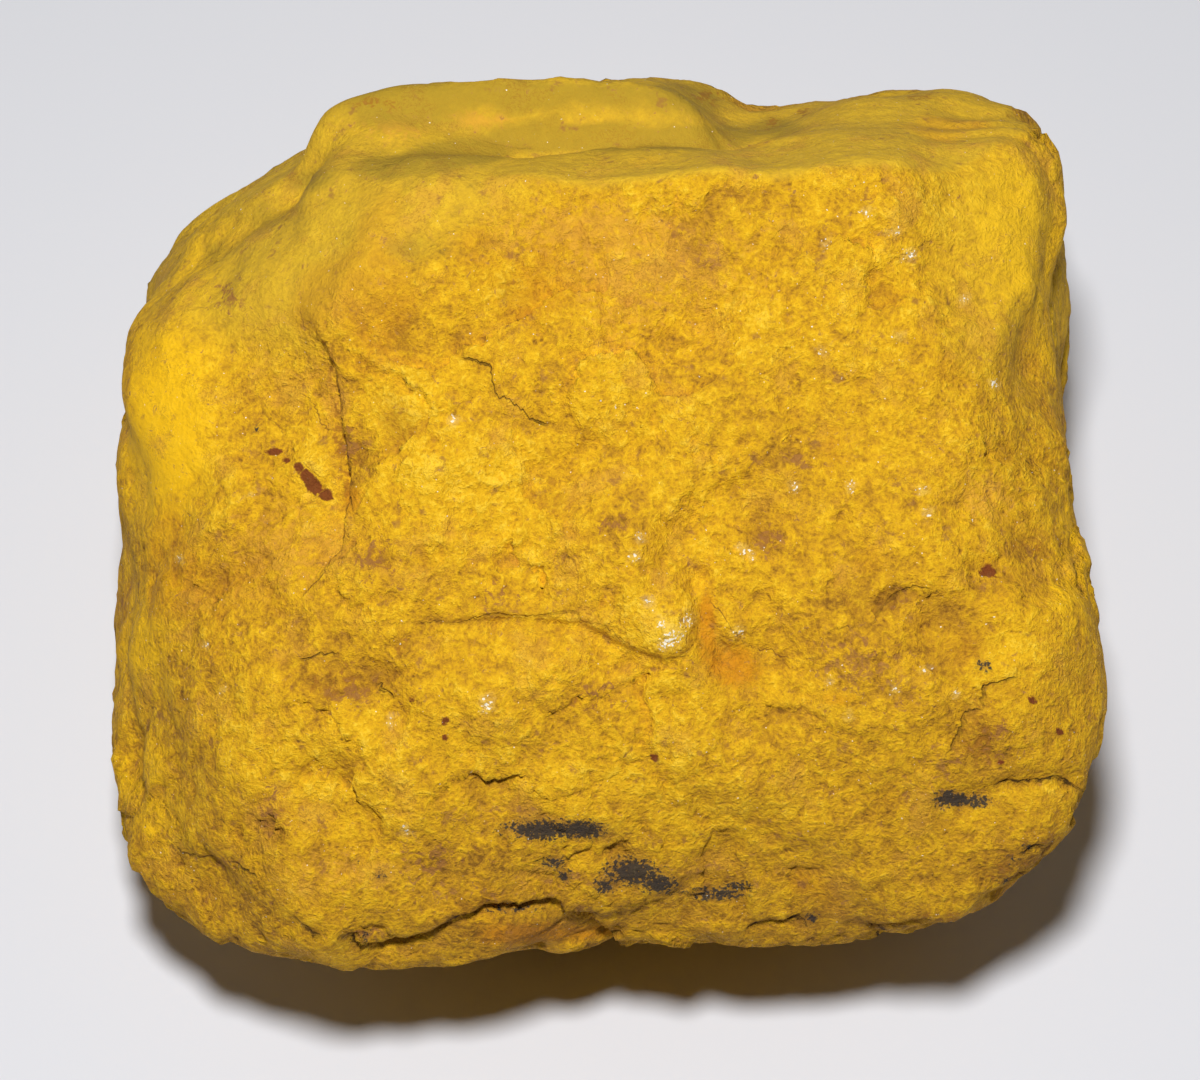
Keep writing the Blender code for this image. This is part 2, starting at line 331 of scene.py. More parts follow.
# %% Creases and ledges along their routes
CREASES = {
    "trough behind the ridge": (1.5, 0.9, [
        (-9.6, 17.0), (-6.0, 17.6), (-0.6, 17.8), (4.6, 17.7), (6.8, 18.2)]),
    "far right groove": (1.1, 0.5, [(8.9, 14.0), (7.0, 12.5), (6.3, 11.2), (4.7, 9.4), (2.6, 8.2)]),
    "gully by the nodule": (0.7, 0.6, [(4.2, -3.0), (4.7, -5.2), (5.6, -6.4)]),
    "right side crack": (0.5, 0.3, [(16.6, -12.3), (17.8, -12.1), (20.0, -11.8), (21.0, -11.4)]),
    "right dip": (0.9, 0.15, [(18.5, 11.0), (20.2, 11.4)]),
    "crest of the ridge": (0.7, -0.22, [
        (-8.0, 15.1), (-2.0, 15.5), (4.0, 15.5), (10.0, 15.4), (18.0, 15.8)]),
}
# Drop, fade, route: the stone lies lower on the right-hand side of the route.
LEDGES = {
    "hollow edge": (1.1, 3.0, [
        (-14.1, 10.1), (-12.9, 8.0), (-12.4, 4.8), (-12.0, 1.0), (-12.3, -1.1), (-14.1, -3.5)]),
    "near crack, left": (0.12, 2.4, [
        (-20.0, -14.6), (-18.0, -15.6), (-15.8, -16.4), (-12.4, -18.4)]),
    "near crack": (0.9, 2.4, [
        (-11.9, -18.0), (-11.3, -19.1), (-10.5, -19.4), (-9.4, -19.1), (-7.9, -18.8), (-6.6, -18.2),
        (-5.3, -17.5), (-4.1, -17.5), (-2.9, -17.2), (-0.9, -18.0), (3.2, -19.0)]),
    "nodule edge": (0.5, 1.8, [
        (-8.2, -4.4), (-4.0, -4.4), (-1.4, -4.6), (0.8, -5.8), (2.6, -6.4), (4.6, -5.7)]),
    "near right ledge": (0.7, 2.4, [(18.8, -6.7), (17.4, -7.6), (16.0, -9.4), (15.0, -10.8)]),
    "middle ledge": (0.3, 3.0, [
        (15.6, -3.4), (14.0, -3.2), (12.6, -4.0), (11.6, -4.8), (9.4, -5.6)]),
}
HIDDEN_LEDGES = {
    "back ledge": (0.9, 3.0, [(20, -16), (45, -14), (70, -20), (95, -18), (120, -26), (150, -22)]),
    "left side ledge": (0.7, 2.5, [(150, -36), (170, -30), (195, -34), (215, -24), (240, -26)]),
    "right side ledge": (0.6, 2.5, [(300, -34), (320, -32), (340, -28), (0, -18), (15, -22)]),
    "under ledge": (0.8, 4.0, [(40, -50), (75, -52), (110, -44), (140, -50)]),
}
LEDGE_EDGE = 0.5  # width of the step itself: tighter than in the CAD, which has fewer points
LEDGE_TAPER = 3.0


def smooth(amount):
    """Three squares less two cubes of the amount, held between 0 and 1."""
    amount = np.clip(amount, 0, 1)
    return amount * amount * (3 - 2 * amount)


def follow(points, route):
    """Distance from the nearest leg of the route, the side of it, and the way to its end."""
    steps = np.diff(route, axis=0)
    lengths = np.linalg.norm(steps, axis=1)
    starts = np.concatenate([[0.0], np.cumsum(lengths)])
    away = np.full(len(points), np.inf)
    side = np.ones(len(points))
    from_end = np.zeros(len(points))
    for start, step, length, passed in zip(route, steps, lengths, starts):
        along = np.clip((points - start) @ step / length**2, 0, 1)
        offset = points - start - along[:, None] * step
        distance = np.linalg.norm(offset, axis=1)
        nearer = distance < away
        away = np.where(nearer, distance, away)
        side = np.where(nearer, np.sign((np.cross(step, points) * offset).sum(1)), side)
        walked = passed + along * length
        from_end = np.where(nearer, np.minimum(walked, starts[-1] - walked), from_end)
    return away, side, from_end


def crease(points, route, width, depth):
    """Minus depth times e to the minus squared distance over width."""
    away, _, _ = follow(points, route)
    return -depth * np.exp(-((away / width) ** 2))


def ledge(points, route, drop, fade):
    """Minus drop times an S-shaped step across the route, dying out exponentially beyond it."""
    away, side, from_end = follow(points, route)
    stepped = smooth(0.5 + side * away / LEDGE_EDGE)
    return -drop * smooth(from_end / LEDGE_TAPER) * stepped * np.exp(-away / fade)


def creases_and_ledges(points):
    """The sum of all the creases and ledges."""
    height = np.zeros(len(points))
    for width, depth, route in CREASES.values():
        height += crease(points, aimed(route), width, depth)
    for drop, fade, route in LEDGES.values():
        height += ledge(points, aimed(route), drop, fade)
    for drop, fade, route in HIDDEN_LEDGES.values():
        height += ledge(points, faced(route), drop, fade)
    return height


print("the deepest crease goes", -creases_and_ledges(places).min().round(2), "mm in")

# %% [markdown]
# ## Layers and unevenness
# Ochre settles in beds, and round the sides of the lump the softer beds are worn back. The beds
# are level with the broad face, so a height up the stone, with a slow wave in it, says which
# bed a point is in, and a sawtooth of that height juts each bed out. The whole skin is also a
# little uneven, which a sum of sine waves in random directions gives.

# %% Beds and slow waves
LAYER_SPACING = 3.1
LAYER_DEPTH = 0.32
LAYER_WAVE = (14.0, 1.1)
LAYER_FACE = 0.8
LAYER_PATCH = 12.0
UNEVENNESS = ((17.0, 0.22), (8.0, 0.20), (4.2, 0.12))
WAVES_IN_A_SUM = 20


def unevenness(points, wavelength, seed):
    """The sum of sines of place times heading plus phase, for headings in random directions."""
    random = np.random.default_rng(seed)
    headings = random.normal(size=(WAVES_IN_A_SUM, 3))
    headings /= np.linalg.norm(headings, axis=1, keepdims=True)
    headings *= 2 * math.pi / wavelength * random.uniform(0.7, 1.3, (WAVES_IN_A_SUM, 1))
    phases = random.uniform(0, 2 * math.pi, WAVES_IN_A_SUM)
    return np.sin(points @ headings.T + phases).sum(1) * math.sqrt(2 / WAVES_IN_A_SUM)


def bed_level(points):
    """Height up the stone plus a slow wave: points of one bed share one level."""
    wavelength, height = LAYER_WAVE
    return points[:, 2] + height * unevenness(points, wavelength, 5)


def on_the_side(headings):
    """One round the sides, falling to nothing where the skin faces up or down."""
    return smooth(1.3 - 1.8 * np.abs(headings[:, 2]))


def layers(points, headings):
    """A sawtooth of the bed level: a slow rise over most of a bed, then a quick step back."""
    share = (bed_level(points) / LAYER_SPACING) % 1.0
    profile = smooth(share / LAYER_FACE) - smooth((share - LAYER_FACE) / (1 - LAYER_FACE)) - 0.5
    patchy = smooth(0.5 + 0.6 * unevenness(points, LAYER_PATCH, 6))
    return LAYER_DEPTH * profile * on_the_side(headings) * patchy


def main_relief(headings):
    """Everything that the CAD stone has on top of the block."""
    points = headings * worn_block(headings)[:, None]
    height = layers(points, headings) + swellings(points) + creases_and_ledges(points)
    for seed, (wavelength, amount) in enumerate(UNEVENNESS):
        height += amount * unevenness(points, wavelength, seed)
    return height


main = main_relief(towards)
print("the main relief runs from", main.min().round(2), "to", main.max().round(2), "mm")

# %% [markdown]
# ## Small forms of the broad face
# Between the big swellings and the grain lie knobs, dips and dishes a few millimetres across.
# Each is seen on the real face as a change of shade, and each is given a bell of its own. The
# far slope and the left lobe are worn smooth, and the near edge is the roughest, so one number
# for each point says how rugged it is there.

# %% Knobs and dips
# Sideways, up, radius and height in millimetres, as sighted.
SMALL_FORMS = {
    "bulge on the left": (-18.0, -6.2, 1.8, 0.40),
    "brown hollow": (-11.6, -7.4, 1.5, -0.60),
    "foot of the brown hollow": (-9.9, -9.0, 0.8, -0.50),
    "shining knob": (-5.6, -8.2, 0.9, 0.35),
    "knob": (1.6, -1.0, 0.8, 0.30),
    "knob to its right": (6.2, -1.2, 0.9, 0.30),
    "knob by the gully": (5.9, -4.9, 0.6, 0.30),
    "valley": (7.2, -6.2, 1.2, -0.45),
    "right swell": (12.0, -6.2, 1.9, 0.40),
    "right knob": (14.4, -7.4, 0.9, 0.30),
    "right dish": (17.2, 1.4, 1.2, -0.40),
    "right pit": (17.3, -2.1, 0.7, -0.50),
    "upper notch": (2.0, 13.5, 0.8, -0.30),
    "upper dish": (5.5, 11.8, 1.6, -0.40),
    "upper knob": (9.8, 12.8, 1.1, 0.35),
    "upper right knob": (12.9, 13.6, 0.9, 0.30),
    "middle dip": (-3.0, 1.8, 1.9, -0.35),
    "middle swell": (0.5, 4.8, 2.2, 0.35),
    "raised plate": (-13.6, 3.0, 0.8, 0.60),
    "corner beside the rim": (-12.6, 14.8, 1.4, 0.45),
    "upper part of the hollow": (-15.6, 8.4, 1.3, -0.50),
    "knob over the hollow": (-17.4, 9.8, 0.9, 0.35),
    "corner swell": (-15.0, -14.5, 1.6, 0.40),
    "corner dip": (-12.6, -13.0, 1.1, -0.45),
    "near dip": (-7.3, -15.2, 1.5, -0.35),
    "near knob": (-2.0, -13.0, 1.6, 0.30),
    "dip under the black": (4.6, -15.8, 1.2, -0.30),
    "near right dip": (8.6, -15.6, 1.3, -0.35),
    "near right knob": (11.4, -13.6, 1.6, 0.35),
    "wedge dip": (15.8, -12.4, 0.9, -0.45),
    "flank knob": (17.4, -14.6, 1.6, 0.35),
}

# Bumps and dents that are seen in the outline: degrees round, degrees up, radius, height.
OUTLINE_FORMS = [
    (6, 5, 2.4, -0.2), (22, -8, 2.4, -0.22), (31, -2, 1.4, 0.3), (33, 17, 0.8, 0.18),
    (40, 12, 1.4, -0.34), (45, 3, 1.9, -0.6), (57, 3, 1.0, 0.4), (69, 0, 0.9, -0.3),
    (78, 1, 1.5, 0.45), (92, 10, 1.6, 0.15), (124, 17, 1.5, 0.38), (135, -5, 0.8, -0.3),
    (147, -7, 2.6, 0.32), (153, -5, 0.8, 0.22), (163, 17, 1.2, 0.2), (171, 11, 1.9, 0.7),
    (170, -10, 1.6, -0.26), (178, 1, 1.9, 0.1), (183, 5, 1.6, 0.12), (189, 3, 2.0, -0.52),
    (197, 5, 1.5, 0.28), (204, 10, 1.2, 0.22), (210, 8, 1.4, -0.32), (218, 14, 1.3, 0.42),
    (224, 14, 1.8, -0.62), (237, 25, 0.9, 0.3), (244, 21, 1.0, 0.16), (248, 22, 1.0, 0.3),
    (254, 24, 0.8, 0.12), (262, 20, 1.8, -0.45), (268, 20, 1.0, 0.36), (275, 15, 1.3, -0.45),
    (283, 21, 0.9, -0.25), (288, 20, 1.9, 0.35), (301, 16, 1.6, -0.25), (312, 20, 2.6, 0.42),
    (315, 20, 1.0, -0.25), (321, 22, 2.0, 0.22), (326, 22, 0.9, -0.25), (332, 23, 2.2, 0.6),
    (338, 24, 1.4, -0.12), (347, 24, 2.2, 0.48), (352, 25, 1.0, -0.26), (357, 23, 0.9, 0.28),
]


def small_forms(points):
    """The sum of the small bells."""
    height = np.zeros(len(points))
    for x, y, radius, amount in SMALL_FORMS.values():
        height += lump(points, aimed([(x, y)])[0], radius, amount)
    for around, up, radius, amount in OUTLINE_FORMS:
        height += lump(points, faced([(around, up)])[0], radius, amount)
    return height


def part_of(headings, sides, names, least, spread):
    """An S-shaped rise as the facing amount of the named sides comes up to the surface's own."""
    named = {name: sides[name] for name in names}
    return smooth((facing_sides(headings, named).max(1) * worn_block(headings) - least) / spread)


LOBE = (-20.6, 4.0)  # where the left lobe is seen
LOBE_SIZE = (3.0, 6.4)

seen = as_seen(places)
far_slope = part_of(towards, BREAKS, ["back slope"], 0.972, 0.022)
far_sides = ["left shoulder", "far left shoulder", "far left bevel", "far left corner"]
worn_smooth = part_of(towards, BLOCK, far_sides, 0.90, 0.09) * smooth((seen[:, 1] - 7.0) / 3.0)
right_smooth = part_of(towards, BLOCK, ["right shoulder", "right side"], 0.93, 0.07)
right_smooth *= smooth((seen[:, 1] - 5.0) / 4.0)
lobe = np.exp(-(((seen - LOBE) / LOBE_SIZE) ** 2).sum(1)) * (places[:, 2] > 0)
near_edge = smooth((-12.0 - seen[:, 1]) / 5.0)
rugged = 1.1 - 0.75 * far_slope - 0.6 * worn_smooth - 0.5 * right_smooth
rugged = np.clip(rugged - 0.85 * lobe + 0.1 * near_edge, 0.22, 1.4)
main -= 0.9 * lobe * layers(places, towards)
print("ruggedness runs from", rugged.min().round(2), "to", rugged.max().round(2))

# %% [markdown]
# ## The fine relief
# Close to, the earth is rough: grains, thin flakes that have broken off and left low steps,
# small pits, and fine laminae round the sides. Displacing a fine mesh with texture nodes would
# do it too, but numpy keeps the shape in the mesh, where every export finds it. Noise here is a
# value for each cell of a lattice, blended smoothly between cells. A second kind measures the
# way to the nearest of many scattered seeds, which gives separate pits and flakes.

# %% Noise on a lattice and scattered seeds
def cell_value(cells, salt):
    """A number from 0 to 1 for each cell: its whole-number place, stirred by multiplying."""
    x, y, z = cells.astype(np.int64).T
    mixed = x * 73856093 ^ y * 19349663 ^ z * 83492791 ^ salt * 26544357
    mixed = (mixed ^ (mixed >> 13)) & 0xFFFFFF
    mixed = (mixed * 1274126177) & 0xFFFFFFFF
    mixed = ((mixed ^ (mixed >> 15)) * 668265263) & 0xFFFFFFFF
    return (mixed >> 8) / 0xFFFFFF


def lattice_noise(points, size, salt):
    """From -1 to 1: the eight corners' values, each by an S-shaped share of nearness."""
    at = points / size
    cell = np.floor(at)
    share = smooth(at - cell)
    total = np.zeros(len(points))
    for corner in itertools.product((0, 1), repeat=3):
        weight = np.where(corner, share, 1 - share).prod(1)
        total += weight * cell_value(cell + corner, salt)
    return 2 * total - 1


def nearest_seed(points, size, salt):
    """The offset from the nearest seed, in cells, and a number that belongs to the seed."""
    at = points / size
    cell = np.floor(at)
    away, offset, number = np.full(len(points), 9.0), np.zeros_like(at), np.zeros(len(points))
    for neighbour in itertools.product((-1, 0, 1), repeat=3):
        near = cell + neighbour
        to_seed = at - near - np.stack([cell_value(near, salt + axis) for axis in range(3)], 1)
        distance = np.linalg.norm(to_seed, axis=1)
        closer = distance < away
        away = np.where(closer, distance, away)
        offset = np.where(closer[:, None], to_seed, offset)
        number = np.where(closer, cell_value(near, salt + 3), number)
    return offset, number


def shaken(points, size, amount, salt):
    """The points moved about by three lattice noises, which makes straight borders ragged."""
    return points + amount * np.stack([lattice_noise(points, size, salt + i) for i in range(3)], 1)


sample = lattice_noise(places, 1.0, 11)
print("lattice noise runs from", sample.min().round(2), "to", sample.max().round(2))

# %% Grain, flakes, pits and laminae
GRAIN = ((2.4, 0.08), (1.1, 0.07), (0.5, 0.05))  # size of a cell and height, in millimetres
FLAKES = ((3.4, 0.13, 0.06), (1.5, 0.07, 0.05))  # size, step between flakes, tilt of each
PIT_SIZE = 1.3
PIT_DEPTH = 0.20
PITTED = 0.30  # the share of seeds that have a pit
LAMINA_SPACING = 0.8
LAMINA_DEPTH = 0.10


def grain(points):
    """Lattice noise of three sizes, the finest the lowest."""
    height = np.zeros(len(points))
    for salt, (size, amount) in enumerate(GRAIN, 11):
        height += amount * lattice_noise(points, size, salt)
    return height


def flakes(points):
    """A height for each seed's own patch, plus the offset from the seed times a tilt of its own."""
    height = np.zeros(len(points))
    for salt, (size, step, tilt) in enumerate(FLAKES):
        ragged_points = shaken(points, 0.35 * size, 0.22 * size, 60 + 10 * salt)
        offset, number = nearest_seed(ragged_points, size, 81 + 10 * salt)
        heading = np.stack([np.cos(40 * number), np.sin(40 * number), np.cos(97 * number)], 1)
        height += step * (2 * number - 1) + tilt * size * (offset * heading).sum(1)
    return height * smooth(0.75 + 0.9 * lattice_noise(points, 6.0, 99))


def pits(points):
    """Minus depth times a bell round each seed that has a pit, with a ragged rim."""
    offset, number = nearest_seed(shaken(points, 0.5, 0.3, 31), PIT_SIZE, 41)
    deep = smooth((PITTED - number) / PITTED * 2)
    return -PIT_DEPTH * deep * np.exp(-((offset / 0.27) ** 2).sum(1))


def laminae(points, headings):
    """A fine wave of the bed level round the sides, bent by noise and patchy."""
    bent = bed_level(points) + 0.35 * lattice_noise(points, 2.2, 51)
    wave = np.abs(((bent / LAMINA_SPACING) % 1.0) * 2 - 1) ** 1.6
    patchy = smooth(0.35 + 1.1 * lattice_noise(points, 2.6, 52))
    return -LAMINA_DEPTH * wave * on_the_side(headings) * patchy


fine = rugged * (grain(places) + flakes(places) + pits(places))
fine += (rugged + 0.8 * near_edge) * laminae(places, towards)
print("the fine relief runs from", fine.min().round(2), "to", fine.max().round(2), "mm")

# %% [markdown]
# ## Cracks
# Dark cracks run along the ledges and across the face: where a layer has begun to split off, and
# where the lump has dried. Their darkness is painted shade, the shade inside the narrow gaps. The
# open ones are grooves in the mesh. A crack can be thinner than the mesh's squares, so each point
# also keeps its signed distance from the nearest crack, in crack widths. Between points that
# distance is blended evenly, so a material can paint the crack's shade as a fine line in exactly
# the right place. Two sets keep neighbouring cracks from sharing a distance.

# %% The open cracks
# Width in millimetres, darkness, and the places that the crack runs through, as sighted.
OPEN_CRACKS = {
    "hollow crack": (0.1, 0.38, [
        (-14.1, 10.1), (-14.2, 9.3), (-13.5, 8.3), (-12.9, 8), (-12.7, 7.2), (-12.4, 6.1),
        (-12.4, 5.2), (-12, 3.6), (-12, 1.9), (-11.5, 0.4)]),
    "corner crack": (0.11, 0.7, [(-19.8, -14.7), (-19.5, -15), (-19, -15.2), (-18, -15.7)]),
    "corner crack, beside": (0.12, 0.8, [
        (-17.6, -15.4), (-17.2, -15.5), (-16.4, -15.9), (-15.7, -16.3)]),
    "corner crack, lower": (0.11, 0.7, [
        (-14.2, -17.5), (-13.6, -17.9), (-12.9, -18.3), (-12.2, -18.6)]),
    "near crack, right half": (0.24, 1.6, [
        (-11.8, -18.4), (-11.6, -18.7), (-11.3, -19.1), (-10.5, -19.5), (-9.4, -19.2),
        (-7.9, -18.8), (-6.6, -18.2), (-5.9, -17.9), (-5.3, -17.5), (-4.1, -17.5), (-2.9, -17.2),
        (-2.1, -17.5)]),
    "right side crack": (0.13, 0.9, [
        (17.6, -12.1), (18, -12), (18.5, -11.9), (19.2, -11.9), (20, -11.8), (20.6, -11.6),
        (21.4, -11.3)]),
    "near edge crack": (0.18, 1.2, [(6.4, -18.6), (7.7, -18.6), (9, -18.5), (10.4, -18.5)]),
    "near edge crack, right": (0.2, 1.4, [
        (10.4, -18.5), (11.6, -18.3), (12.6, -18.1), (13.4, -17.9), (14.4, -17.6)]),
    "middle crack": (0.09, 0.6, [
        (-7.2, 7.5), (-6.1, 7.6), (-5.4, 7.4), (-5.3, 6.5), (-5, 5.9), (-4.5, 5.5), (-3.9, 5.1),
        (-3.3, 4.9), (-2.4, 4.8)]),
    "nodule edge": (0.08, 0.36, [
        (-10.4, -4.4), (-7.8, -4.4), (-5.7, -4.4), (-4.1, -4.5), (-3, -4.3), (-1.7, -4.2),
        (-1.4, -4.7), (-0.5, -4.9), (0.1, -5.3), (0.8, -5.7), (1.5, -6.2), (2.1, -6.4), (3, -6.3),
        (3.8, -5.9), (4.4, -5.6)]),
    "right ledge line": (0.1, 0.4, [
        (9.6, -5.4), (10.3, -5), (11.7, -4.5), (12.7, -3.9), (13.5, -3.3), (14.3, -3.1),
        (15.1, -3.2)]),
    "near right ledge line": (0.12, 0.5, [
        (19, -6.5), (18.2, -7.2), (17.5, -7.6), (16.7, -8.2), (16.1, -8.9), (15.5, -9.8),
        (15, -10.6)]),
    "far right groove": (0.12, 0.3, [
        (8.9, 14), (8.1, 13.4), (7, 12.5), (6.5, 11.5), (5.8, 10.2), (4.7, 9.4), (3.3, 8.3)]),
    "rim line": (0.1, 0.3, [(-6.5, 18.1), (-5, 18), (-3.4, 18.1)]),
    "brown hollow crack": (0.12, 0.8, [(-11.4, -7.6), (-10.7, -8.1), (-10.1, -8.4)]),
    "brown hollow edge": (0.09, 0.6, [(-14.6, -6.5), (-13.9, -6.4), (-13.2, -6.1), (-12.4, -6)]),
    "upper flank crack": (0.13, 1.2, [(18.1, -14.6), (18.5, -14.3), (18.9, -14.1), (19.5, -14.2)]),
}
print(len(OPEN_CRACKS), "open cracks")

# %% The hairline cracks
HAIRLINES = {
    "red branch": (0.09, 0.7, [
        (-12.6, 1.2), (-12.4, 0.5), (-12, 0), (-12, -0.3), (-12.3, -1.1), (-12.8, -2),
        (-13.5, -2.9), (-14.1, -3.5)]),
    "flake outline": (0.14, 0.9, [(-2.2, -17.6), (-1.5, -17.8), (-0.9, -18.2)]),
    "flank crack": (0.14, 1.2, [(17.5, -15.4), (17.8, -15), (18.2, -14.8), (18.6, -14.6)]),
    "gully": (0.1, 0.8, [
        (4.6, -3.4), (5.3, -4.4), (5.9, -5.4), (6.5, -5.8), (7, -6), (7.8, -6.2), (8.5, -6.4),
        (9.4, -6.9)]),
    "right step": (0.09, 0.7, [(14.8, 1.5), (15.4, 0.8), (16.4, 0.2), (16.9, 0.1)]),
    "right stroke": (0.08, 0.6, [(15.6, -0.5), (15.9, -1.7), (16.2, -2.7)]),
    "tan patch edge": (0.08, 0.45, [
        (1.9, 14.7), (1.5, 13.7), (2.1, 12.5), (2, 10.9), (2.9, 9.7), (2.1, 8.7), (0.1, 8.5),
        (-1.3, 7.8), (-2.5, 8)]),
    "plate arc": (0.09, 0.7, [
        (-15.2, 6.5), (-14.4, 6), (-13.9, 5.2), (-13.8, 4.8), (-13.3, 4.5), (-12.9, 4.4)]),
    "plate ridge": (0.08, 0.5, [(-16.9, 6.2), (-16.5, 5.3), (-15.9, 4.5), (-15.5, 3.6)]),
    "short stroke": (0.08, 0.6, [(-11.8, 7.3), (-11.4, 7), (-11, 6.6)]),
    "dish stroke": (0.08, 0.5, [(-16.4, -2.3), (-16, -3.1), (-15.7, -3.9)]),
    "left stroke": (0.09, 0.7, [(-21.4, -6.9), (-21, -8.4), (-20.5, -8.6)]),
    "left notch": (0.1, 0.7, [(-20, -11.5), (-19.5, -11.6), (-18.9, -11.9)]),
    "dark stroke": (0.12, 0.9, [(-10, -9), (-9.9, -9.4), (-9.9, -9.8)]),
    "corner stroke": (0.1, 0.7, [(-18.3, -14), (-18, -14.6), (-17.7, -15.1)]),
    "edge stroke": (0.1, 0.7, [(-18.2, -16.4), (-17.9, -16.7), (-17.6, -17)]),
    "step by the nodule": (0.1, 0.6, [(-2.7, -1.3), (-1.8, -1.7), (-1.5, -2.3), (-1.5, -3.9)]),
    "foot stroke": (0.1, 0.8, [(-17.5, -18.6), (-16.7, -19), (-15.7, -19.2)]),
    "foot stroke, right": (0.1, 0.8, [(-14, -19.4), (-13.2, -19.6), (-12.4, -19.8)]),
    "foot stroke, upper": (0.09, 0.7, [(-16.2, -18.2), (-15.5, -18.5), (-14.5, -18.6)]),
    "flank crack, lower": (0.13, 1, [(17.1, -16), (17.6, -15.6), (18.3, -15.4), (18.8, -15.3)]),
    "flank crack, under": (0.12, 0.9, [(16, -17.3), (16.9, -16.8), (17.8, -16.2), (18.7, -15.6)]),
    "near right arc": (0.1, 0.5, [(6.8, -16), (7.6, -15.4), (8.2, -14.9), (9.4, -15)]),
}
print(len(HAIRLINES), "hairlines")

# %% Distance from the nearest crack
CRACK_REACH = 0.55  # millimetres over which a crack is felt
CRACK_TAPER = 0.8
CRACK_SEARCH = 9.0  # millimetres past which no crack is looked for
MOST_ACROSS = 4.0  # the distance in crack widths is held at this


def nearest_crack(points, table):
    """Signed distance in crack widths, and darkness times nearness times the taper of the ends."""
    points = shaken(shaken(points, 2.2, 0.30, 71), 0.7, 0.13, 74)
    across, nearest = np.full(len(points), MOST_ACROSS), np.full(len(points), CRACK_SEARCH)
    felt = np.zeros(len(points))
    for width, darkness, route in table.values():
        away, side, from_end = follow(points, aimed(route))
        closer = away < nearest
        nearest = np.where(closer, away, nearest)
        across = np.where(closer, side * np.minimum(away / width, MOST_ACROSS), across)
        near, inside = smooth(1.15 - away / CRACK_REACH), smooth(0.15 + from_end / CRACK_TAPER)
        felt = np.where(closer, darkness * near * inside, felt)
    return across, felt


def groove(across, felt, depth, width):
    """Minus depth times the felt darkness times a bell of the distance across the crack."""
    return -depth * felt * np.exp(-((across / width) ** 2))


open_across, open_felt = nearest_crack(places, OPEN_CRACKS)
hair_across, hair_felt = nearest_crack(places, HAIRLINES)
grooves = groove(open_across, open_felt, 0.30, 1.3) + groove(hair_across, hair_felt, 0.12, 1.6)
print("grooves go down to", grooves.min().round(2), "mm")

# %% [markdown]
# ## The mesh
# All heights are added to the block's distance, along each direction. The facet that the stone
# rests on is cut flat, the stone is tipped forward on to it, and it is moved sideways by the
# same amounts as the CAD stone, whose outline is centred on the origin.

# %% Put the heights together
REST_DISTANCE = 13.5
TIP = 28.0
SHIFT = np.array([0.62, 0.77, 0.0])
MM = 0.001


def cut_flat(headings, radius):
    """Heading times the lesser of the radius and the way to the resting facet."""
    facing_down = np.maximum(headings @ direction(270, TIP - 90), 1e-6)
    return headings * np.minimum(radius, REST_DISTANCE / facing_down)[:, None]


def tipped(points):
    """The points turned forward about the sideways axis, with the resting facet at height 0."""
    turn = math.radians(TIP)
    x, y, z = points.T
    level = y * math.sin(turn) + z * math.cos(turn) + REST_DISTANCE
    level[level < 1e-6] = 0.0
    return np.stack([x, y * math.cos(turn) - z * math.sin(turn), level], 1)


skin = cut_flat(towards, worn_block(towards) + main + small_forms(places) + fine + grooves)
points = tipped(skin) + SHIFT
print("size in mm:", (points.max(0) - points.min(0)).round(1), "moved by", SHIFT)


# %% Make the mesh
def mesh_from(name, corners, polygons):
    """A mesh of four-sided polygons straight from two arrays."""
    made = bpy.data.meshes.new(name)
    made.vertices.add(len(corners))
    made.vertices.foreach_set("co", np.ascontiguousarray(corners, dtype=np.float32).ravel())
    made.loops.add(polygons.size)
    made.loops.foreach_set("vertex_index", polygons.astype(np.int32).ravel())
    made.polygons.add(len(polygons))
    made.polygons.foreach_set("loop_start", np.arange(0, polygons.size, 4, dtype=np.int32))
    made.update(calc_edges=True)
    made.validate()
    return made


mesh = mesh_from("worn_ochre", points * MM, squares)
mesh.shade_smooth()
stone = bpy.data.objects.new("worn_ochre", mesh)
bpy.context.scene.collection.objects.link(stone)
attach(stone, "root")
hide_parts("ochre_stone")
print(len(mesh.vertices), "vertices,", len(mesh.polygons), "polygons")

# %% [markdown]
# ## Where the stains are
# Ochre is never one yellow. Dry patches are tan, thin places brown, iron has run in as orange
# and red, and small sprays of black manganese lie on the near face. Each stain is a soft spot
# with a place, a half width and a half height, and every kind of stain is one number on each
# point of the mesh. The material breaks the spots up with noise, so no outline stays round.

